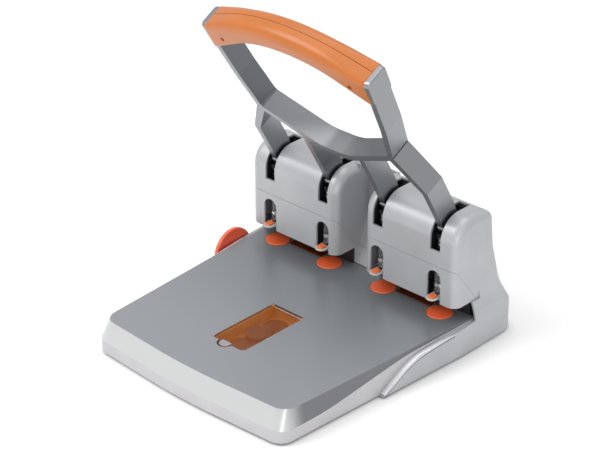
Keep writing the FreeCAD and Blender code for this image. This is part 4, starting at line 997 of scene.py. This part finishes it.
@dataclass
class Grip:
    """Two-part moulded grip over the top bar of the lever, in the lever's own frame.

    Its section is tall and soft in the middle and squarer at the ends, which run into the
    rims of the casting.
    """

    pivot: Triple = (0.0, 108.0, 132.0)
    lean: float = 30.0
    half_length: float = 111.0
    low_end: float = 213.0
    low_mid: float = 262.0
    low_bend: float = 170.0
    top_end: float = 248.0
    top_mid: float = 292.1
    top_bend: float = 220.0
    half_depth: float = 15.8
    # The wall above and below the bar that the sections leave out.
    skin: float = 0.4
    # Corners of the section: soft in the middle, and squarer from here to the ends.
    corner: float = 11.2
    end_corner: float = 5.0
    square_from: float = 55.0
    reach: float = 109.6
    end_share: float = 0.965
    end_taper: float = 1.2
    rim_tilt: float = 6.7
    rim_depth: float = 0.94
    # Each step of a rim: its distance from the middle and its share of the section.
    rim_steps: tuple[tuple[float, float], ...] = ((112.6, 0.965), (113.5, 0.94), (113.9, 0.88))
    rim_crease: float = 50.0
    parting: float = 2.0
    parting_gap: float = 0.3
    parting_round: float = 0.55
    crease: float = 40.0
    stations: int = 30
    sides: int = 9
    screws: tuple[tuple[float, float], ...] = ((-88.0, 236.0), (0.0, 252.0), (88.0, 236.0))
    recess_radius: float = 2.7
    recess_depth: float = 1.6
    recess_front: float = -13.2
    cutter_length: float = 8.0
    cutter_sides: int = 32

    def line(self, across: float, end: float, middle: float, bend: float) -> float:
        """Height of one edge of the grip: two straight runs joined by an arc.

        Args:
            across: Distance from the middle.
            end: Height at the end of the grip.
            middle: Height where the straight runs would meet.
            bend: Radius of the arc.

        Returns:
            The height.
        """
        slope = math.atan2(middle - end, self.half_length)
        if abs(across) > bend * math.sin(slope):
            return middle - abs(across) * math.tan(slope)
        return middle - bend / math.cos(slope) + math.sqrt(bend ** 2 - across ** 2)

    def ring(self, across: float, share: float = 1.0) -> Ring:
        """Section of the grip at a distance from its middle.

        Args:
            across: Distance from the middle.
            share: Share of the full section.

        Returns:
            The section.
        """
        low = self.line(across, self.low_end, self.low_mid, self.low_bend)
        top = self.line(across, self.top_end, self.top_mid, self.top_bend)
        late = max(0.0, abs(across) - self.square_from) / (self.half_length - self.square_from)
        corner = self.corner + (self.end_corner - self.corner) * min(1.0, late)
        return Ring((across, 0.0, (low + top) / 2), (0.0, QUARTER_TURN, 0.0),
                    (top - low) / 2 * share + self.skin, self.half_depth * share,
                    corner * share)

    def stand(self, item: bpy.types.Object) -> None:
        """Lean a piece from the lever's own frame into the machine's frame.

        Args:
            item: The piece.
        """
        item.rotation_euler = (math.radians(self.lean), 0.0, 0.0)
        item.location = metres(self.pivot)
        Bench.settle(item, item.name)

    def end_rim(self, side: float, name: str) -> bpy.types.Object:
        """Model the rim of the casting that closes one end of the grip.

        Args:
            side: 1 for the right end, -1 for the left end.
            name: Name of the piece.

        Returns:
            The rim.
        """
        inner = self.ring(side * self.reach, self.end_share)
        turn = (0.0, QUARTER_TURN + side * math.radians(self.rim_tilt), 0.0)
        rings = [inner]
        for place, share in self.rim_steps:
            full = self.ring(side * self.reach, share)
            rings.append(Ring((side * place, 0.0, inner.place[2]), turn, full.half_x,
                              full.half_y * self.rim_depth, full.corner))
        item = Bench.loft(name, rings, self.sides)
        Bench.outward(item)
        Bench.smooth(item, self.rim_crease)
        self.stand(item)
        return item

    def half(self, name: str, front: bool) -> bpy.types.Object:
        """Model one shell of the grip.

        Args:
            name: Name of the piece.
            front: Whether it is the front shell.

        Returns:
            The shell.
        """
        inner = self.reach - self.end_taper
        places = [inner * (2 * step / self.stations - 1) for step in range(self.stations + 1)]
        rings = [self.ring(-self.reach, self.end_share)]
        rings += [self.ring(place) for place in places]
        rings.append(self.ring(self.reach, self.end_share))
        item = Bench.loft(name, rings, self.sides)
        gap = -self.parting_gap / 2 if front else self.parting_gap / 2
        cut = (self.parting + gap) * MM
        Bench.open(item, whole=True)
        bpy.ops.mesh.bisect(plane_co=(0.0, cut, 0.0), plane_no=(0.0, 1.0, 0.0), use_fill=True,
                            clear_outer=front, clear_inner=not front)
        Bench.close()
        Bench.open(item, Element.EDGE)
        Bench.pick(item, Element.EDGE, lambda edge: all(
            abs(vert.co.y - cut) < Bench.NEAR_MM * MM for vert in edge.verts))
        bpy.ops.mesh.bevel(offset=self.parting_round * MM, segments=2, affect="EDGES")
        Bench.close()
        Bench.outward(item)
        return item

    def sink_screws(self, item: bpy.types.Object) -> None:
        """Sink the screw recesses into the front shell.

        Args:
            item: The front shell.
        """
        cutter = Bench.place("grip_recesses", bpy.data.meshes.new("grip_recesses"))
        middle = self.recess_front - self.cutter_length / 2 + self.recess_depth
        Bench.open(cutter)
        for across, height in self.screws:
            bpy.ops.mesh.primitive_cylinder_add(
                vertices=self.cutter_sides, radius=self.recess_radius * MM,
                depth=self.cutter_length * MM, location=metres((across, middle, height)),
                rotation=(QUARTER_TURN, 0.0, 0.0))
        Bench.close()
        Bench.apply(item, "BOOLEAN", operation="DIFFERENCE", object=cutter, solver="EXACT")
        bpy.data.objects.remove(cutter)

    def build(self, dresser: Dresser) -> None:
        """Model both shells and both end rims and put them in place.

        Args:
            dresser: Gives the finish and the place.
        """
        for name, front in (("grip_front", True), ("grip_rear", False)):
            item = self.half(name, front)
            if front:
                self.sink_screws(item)
            Bench.smooth(item, self.crease)
            self.stand(item)
            dresser.fit(item, f"{name}_shell")
        for side, word in SIDES:
            rim = self.end_rim(side, f"grip_end_rim_{word}")
            dresser.add(rim, Coat.CAST, "lever", "cast_aluminium")


@dataclass
class Discs:
    """Cutting discs of the four stations and the large disc of the side guide."""

    row: Row = Row()
    radius: float = 14.3
    height: float = 4.2
    top: float = 38.8
    facets: int = 72
    spindle: float = 4.0
    spindle_length: float = 3.0
    rim: float = 1.3
    rim_round: float = 0.55
    dish: float = 0.12
    dish_slope: float = 0.35
    boss: float = 4.4
    boss_slope: float = 0.3
    boss_depth: float = 0.15
    sharp: float = 40.0
    side_inner: float = -159.1
    side_sheet: float = 4.5
    side_radius: float = 27.5
    side_centre: tuple[float, float] = (58.0, 21.5)
    side_facets: int = 120
    side_flat: float = 1.5
    side_rim: float = 2.6
    side_round: float = 0.6
    side_sharp: float = 35.0
    facing: float = 0.9

    def cutting_disc(self) -> bpy.types.Object:
        """Model one cutting disc at the first station: a rim, a shallow dish and a spindle.

        Returns:
            The disc.
        """
        bpy.ops.mesh.primitive_cylinder_add(
            vertices=self.facets, radius=self.radius * MM, depth=self.height * MM,
            location=metres((self.row.first, self.row.punch_line, self.top - self.height / 2)))
        item = Bench.settle(bpy.context.active_object, "cutting_disc")
        Bench.open(item)
        Bench.pick(item, Element.FACE, lambda face: face.normal.z > self.facing)
        for width, drop in ((self.rim, 0.0), (self.dish_slope, self.dish),
                            (self.radius - self.rim - self.boss, 0.0),
                            (self.boss_slope, self.boss_depth)):
            bpy.ops.mesh.inset(thickness=width * MM, depth=-drop * MM)
        Bench.pick(item, Element.FACE, lambda face: face.normal.z < -self.facing)
        bpy.ops.mesh.inset(thickness=(self.radius - self.spindle) * MM)
        bpy.ops.mesh.extrude_region_move(
            TRANSFORM_OT_translate={"value": (0.0, 0.0, -self.spindle_length * MM)})
        Bench.close()
        Bench.round_edges(item, self.rim_round, sharp=self.sharp)
        return item

    def side_disc(self) -> bpy.types.Object:
        """Model the flat-bottomed disc of the side guide.

        Returns:
            The disc.
        """
        middle = self.side_inner - self.side_sheet / 2
        bpy.ops.mesh.primitive_cylinder_add(
            vertices=self.side_facets, radius=self.side_radius * MM,
            depth=self.side_sheet * MM, location=metres((middle, *self.side_centre)),
            rotation=(0.0, QUARTER_TURN, 0.0))
        item = Bench.settle(bpy.context.active_object, "side_disc")
        Bench.open(item, whole=True)
        bpy.ops.mesh.bisect(plane_co=(0.0, 0.0, self.side_flat * MM), plane_no=(0.0, 0.0, 1.0),
                            use_fill=True, clear_inner=True)
        Bench.close()
        for sign in (-1.0, 1.0):
            Bench.open(item)
            Bench.pick(item, Element.FACE, lambda face: face.normal.x * sign > self.facing)
            bpy.ops.mesh.inset(thickness=self.side_rim * MM)
            Bench.close()
        Bench.round_edges(item, self.side_round, sharp=self.side_sharp)
        return item

    def build(self, dresser: Dresser) -> None:
        """Model the discs, copy the cutting disc along the row and place them.

        Args:
            dresser: Gives the finish and the place.
        """
        discs = self.row.spread(self.cutting_disc(), "cutting_disc_{}_dished")
        for number, item in enumerate(discs, start=1):
            dresser.fit(item, f"cutting_disc_{number}")
        dresser.fit(self.side_disc(), "side_guide_disc")


@dataclass(frozen=True)
class Station:
    """One station of the bead along the wing's edge.

    It gives the height and depth of the bead's middle, how steeply the edge climbs there,
    how far the bead reaches into the wing, and its half width.
    """

    place_y: float
    place_z: float
    climb: float
    reach: float
    half: float


@dataclass
class WingLips:
    """Rounded bead along the front edge of each side wing, lighter as a painted highlight, with
    a dark strip of painted shadow in the groove behind it.
    """

    path: tuple[Station, ...] = (
        Station(-34.0, 3.8, 30.7, 3.6, 2.0), Station(-21.0, 11.4, 30.7, 4.0, 2.2),
        Station(-10.2, 17.8, 30.7, 4.0, 2.2), Station(-0.6, 22.8, 27.0, 4.0, 2.2),
        Station(9.2, 26.7, 19.0, 3.9, 2.1), Station(21.6, 29.6, 10.0, 3.6, 1.9),
        Station(38.0, 31.6, 5.0, 3.0, 1.6), Station(54.0, 32.8, 4.2, 2.2, 1.2),
        Station(70.0, 33.7, 3.8, 1.2, 0.7),
    )
    face_front: float = 151.1
    face_slope: float = 0.0625
    face_start: float = -36.0
    sides: int = 20
    crease: float = 50.0
    lip_proud: float = 0.6
    # The strip of painted shadow in the groove behind the bead.
    groove_proud: float = 0.25
    groove_back: float = 1.3
    groove_widen: float = 0.8

    def strip(self, name: str, side: float, proud: float, back: float = 0.0,
              widen: float = 0.0) -> bpy.types.Object:
        """Loft one strip along the wing's edge.

        Args:
            name: Name of the piece.
            side: 1 for the right wing, -1 for the left wing.
            proud: How far it stands out of the wing's face.
            back: How far it lies behind the edge.
            widen: How much wider than the bead it is, each side.

        Returns:
            The strip.
        """
        rings = []
        for spot in self.path:
            face = self.face_front + (spot.place_y - self.face_start) * self.face_slope
            climb = math.radians(spot.climb)
            place = (side * (face + proud - spot.reach), spot.place_y + back * math.sin(climb),
                     spot.place_z - back * math.cos(climb))
            rings.append(Ring(place, (climb - QUARTER_TURN, 0.0, 0.0), spot.reach,
                              spot.half + widen))
        item = Bench.loft(name, rings, self.sides)
        Bench.smooth(item, self.crease)
        return item

    def build(self, dresser: Dresser) -> None:
        """Loft the beads and the dark strips of painted shadow behind them, on both wings.

        Args:
            dresser: Gives the finishes.
        """
        for side, word in SIDES:
            # The bead's lighter colour is a painted highlight.
            lip = self.strip(f"wing_lip_{word}", side, self.lip_proud)
            dresser.add(lip, Coat.LIP, "base", "silver_plastic")
            # Painted shadow: a dark strip in the groove behind the bead.
            groove = self.strip(f"wing_groove_{word}", side, self.groove_proud,
                                self.groove_back, self.groove_widen)
            dresser.add(groove, Coat.GROOVE, "base", "black_plastic")


@dataclass
class Springs:
    """Return springs, which stay on their seats; the coils here do not shorten as the punches go
    down.
    """

    count: int = 4
    stroke: float = 18.8
    crease: float = 60.0

    def build(self, dresser: Dresser) -> None:
        """Copy each coil and seat it on the base.

        Args:
            dresser: Gives the finish.
        """
        for number in range(1, self.count + 1):
            node = f"return_spring_{number}"
            item = Bench.copy_of(node, f"{node}_coil")
            Bench.smooth(item, self.crease)
            dresser.fit(item, node, "base")
            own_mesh(item)


@dataclass
class DrawerPull:
    """Ribbed finger pull on the sloping rear face of the chip drawer."""

    size: Triple = (58.0, 4.4, 8.0)
    place: Triple = (0.0, 171.4, 25.5)
    slope: float = 28.7
    edge_round: float = 1.3
    crease: float = 40.0
    ribs: int = 3
    rib_pitch: float = 2.1
    rib_radius: float = 0.5
    rib_margin: float = 4.0
    rib_facets: int = 16

    def build(self, dresser: Dresser) -> None:
        """Model the pull and let it ride on the drawer.

        Args:
            dresser: Gives the finish.
        """
        bpy.ops.mesh.primitive_cube_add(size=1.0, scale=metres(self.size))
        item = Bench.settle(bpy.context.active_object, "drawer_pull")
        Bench.round_edges(item, self.edge_round)
        width, depth, _ = self.size
        for step in range(self.ribs):
            height = (step - (self.ribs - 1) / 2) * self.rib_pitch
            bpy.ops.mesh.primitive_cylinder_add(
                vertices=self.rib_facets, radius=self.rib_radius * MM,
                depth=(width - 2 * self.rib_margin) * MM,
                location=metres((0.0, depth / 2, height)), rotation=(0.0, QUARTER_TURN, 0.0))
            rib = Bench.settle(bpy.context.active_object, "rib")
            Bench.apply(item, "BOOLEAN", operation="UNION", object=rib, solver="EXACT")
            bpy.data.objects.remove(rib)
        Bench.smooth(item, self.crease)
        item.rotation_euler = (math.radians(self.slope), 0.0, 0.0)
        item.location = metres(self.place)
        Bench.settle(item, "drawer_pull")
        dresser.add(item, Coat.SHELL, "drawer", "silver_plastic")


@dataclass(frozen=True)
class Tube:
    """Sizes of an upright tube round a punch."""

    low: float
    high: float
    outer: float
    wall: float
    facets: int = 48
    edge_round: float = 0.25
    edge_steps: int = 2


@dataclass
class Interiors:
    """Near-black linings of the lever slots as painted shade, and clear sleeves with steel
    collars on the punches.
    """

    row: Row = Row()
    lining_half: float = 9.8
    lining_low: tuple[float, float] = (81.4, 106.8)
    lining_high: tuple[float, float] = (124.0, 152.0)
    brow_low: float = 129.0
    brow_back: float = 99.0
    lining_sheet: float = 0.8
    lining_round: float = 0.2
    halfway: float = 0.5
    sleeve: Tube = Tube(66.5, 89.5, 7.2, 1.4)
    collar: Tube = Tube(73.0, 76.5, 7.8, 0.5)

    def lining(self) -> bpy.types.Object:
        """Model the black lining inside a lever slot, open in front and below, as painted shade.

        Returns:
            The lining.
        """
        low, high = self.lining_low, self.lining_high
        bpy.ops.mesh.primitive_cube_add(
            size=1.0, scale=metres((2 * self.lining_half, high[0] - low[0], high[1] - low[1])),
            location=metres((self.row.first, (low[0] + high[0]) / 2, (low[1] + high[1]) / 2)))
        item = Bench.settle(bpy.context.active_object, "slot_lining")
        brow = Vector((0.0, -(high[1] - self.brow_low), self.brow_back - low[0])).normalized()
        Bench.open(item, whole=True)
        bpy.ops.mesh.bisect(plane_co=(0.0, low[0] * MM, self.brow_low * MM), plane_no=brow,
                            use_fill=True, clear_outer=True)
        Bench.pick(item, Element.FACE, lambda face: abs(face.normal.x) < self.halfway
                   and face.normal.y < self.halfway)
        bpy.ops.mesh.delete(type="FACE")
        Bench.close()
        Bench.apply(item, "SOLIDIFY", thickness=self.lining_sheet * MM, offset=-1.0)
        Bench.round_edges(item, self.lining_round, segments=1)
        return item

    def tube(self, name: str, tube: Tube) -> bpy.types.Object:
        """Model one upright tube round the first punch.

        Args:
            name: Name of the piece.
            tube: Its sizes.

        Returns:
            The tube.
        """
        middle = (self.row.first, self.row.punch_line, (tube.low + tube.high) / 2)
        bpy.ops.mesh.primitive_cylinder_add(
            vertices=tube.facets, radius=tube.outer * MM, depth=(tube.high - tube.low) * MM,
            end_fill_type="NOTHING", location=metres(middle))
        item = Bench.settle(bpy.context.active_object, name)
        Bench.apply(item, "SOLIDIFY", thickness=tube.wall * MM, offset=-1.0)
        Bench.round_edges(item, tube.edge_round, tube.edge_steps)
        return item

    def build(self, dresser: Dresser) -> None:
        """Model one of each, copy it along the row and place it.

        Args:
            dresser: Gives the finishes.
        """
        firsts = (
            # The linings paint shade into the lever slots.
            (self.lining(), Coat.LINING, "black_plastic"),
            (self.tube("punch_sleeve", self.sleeve), Coat.CLEAR, ""),
            (self.tube("sleeve_collar", self.collar), Coat.BRIGHT, "bright_steel"),
        )
        for first, coat, slot in firsts:
            for item in self.row.spread(first, f"{first.name}_{{}}"):
                dresser.add(item, coat, "base", slot)


@dataclass(frozen=True)
class Lamp:
    """One soft rectangular light: its place and size in metres, and its power in watts."""

    name: str
    place: Triple
    size: tuple[float, float]
    power: float


@dataclass
class Studio:
    """Pale floor, soft lights, a white room and the camera. Its lengths are in metres."""

    azimuth: float = 43.24
    elevation: float = 28.05
    place: Triple = (1.2825, -1.3645, 1.1329)
    lens_mm: float = 120.6
    sensor_mm: float = 36.0
    far: float = 20.0
    floor_width: float = 12.0
    aim: Triple = (0.0, 0.0, 0.1)
    room_strength: float = 0.75
    lamps: tuple[Lamp, ...] = (
        Lamp("key", (-0.9, -1.3, 1.9), (1.4, 1.4), 27.5),
        Lamp("side", (1.8, -0.5, 1.0), (1.2, 1.6), 2.6),
        Lamp("top", (0.0, 0.4, 2.2), (2.0, 1.4), 14.5),
        Lamp("strip", (1.55, -1.55, 0.35), (0.22, 0.9), 7.6),
    )

    def direction(self) -> Vector:
        """Work out which way the camera looks.

        Returns:
            The direction, of length 1.
        """
        across = math.radians(self.azimuth)
        up = math.radians(self.elevation)
        return Vector((-math.sin(across) * math.cos(up), math.cos(across) * math.cos(up),
                       -math.sin(up)))

    def stand(self, name: str, data: bpy.types.ID, place: Triple, look: Vector
              ) -> bpy.types.Object:
        """Stand a camera or a light in the scene.

        Args:
            name: Its name.
            data: The camera's or light's data.
            place: Where it stands.
            look: Which way it points.

        Returns:
            The camera or light.
        """
        item = bpy.data.objects.new(name, data)
        bpy.context.scene.collection.objects.link(item)
        item.location = place
        item.rotation_euler = look.to_track_quat("-Z", "Y").to_euler()
        return item

    def add_camera(self) -> None:
        """Place the camera."""
        data = bpy.data.cameras.new("camera")
        data.lens = self.lens_mm
        data.sensor_width = self.sensor_mm
        data.clip_end = self.far
        bpy.context.scene.camera = self.stand("camera", data, self.place, self.direction())

    def add_light(self, lamp: Lamp) -> None:
        """Add one soft rectangular light, which shines at the machine.

        Args:
            lamp: The light.
        """
        data = bpy.data.lights.new(lamp.name, "AREA")
        data.shape = "RECTANGLE"
        data.size, data.size_y = lamp.size
        data.energy = lamp.power
        self.stand(lamp.name, data, lamp.place, Vector(self.aim) - Vector(lamp.place))

    def add_floor(self) -> None:
        """Lay the floor."""
        bpy.ops.mesh.primitive_plane_add(size=self.floor_width, location=(0.0, 0.0, 0.0))
        floor = bpy.context.active_object
        floor.name = "floor"
        floor.data.materials.append(Coat.FLOOR.value.make())

    def add_room(self) -> None:
        """Surround the machine with even white light."""
        world = bpy.data.worlds.new("room")
        world.use_nodes = True
        light = world.node_tree.nodes["Background"].inputs
        light["Color"].default_value = (1.0, 1.0, 1.0, 1.0)
        light["Strength"].default_value = self.room_strength
        bpy.context.scene.world = world
        bpy.context.scene.view_settings.view_transform = "Standard"

    def build(self) -> None:
        """Set up the floor, the lights, the room and the camera."""
        self.add_floor()
        for lamp in self.lamps:
            self.add_light(lamp)
        self.add_room()
        self.add_camera()


def main() -> None:
    """Build the studio, dress the frame and add the finer pieces."""
    logging.basicConfig(level=logging.INFO, format="%(message)s")
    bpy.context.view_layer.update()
    bpy.ops.object.select_all(action="DESELECT")
    Studio().build()
    dresser = Dresser()
    dresser.dress_nodes()
    for part in (Castings(), Grip(), Discs(), WingLips(), Springs(), DrawerPull(),
                 Interiors()):
        part.build(dresser)


if __name__ == "__main__":
    main()
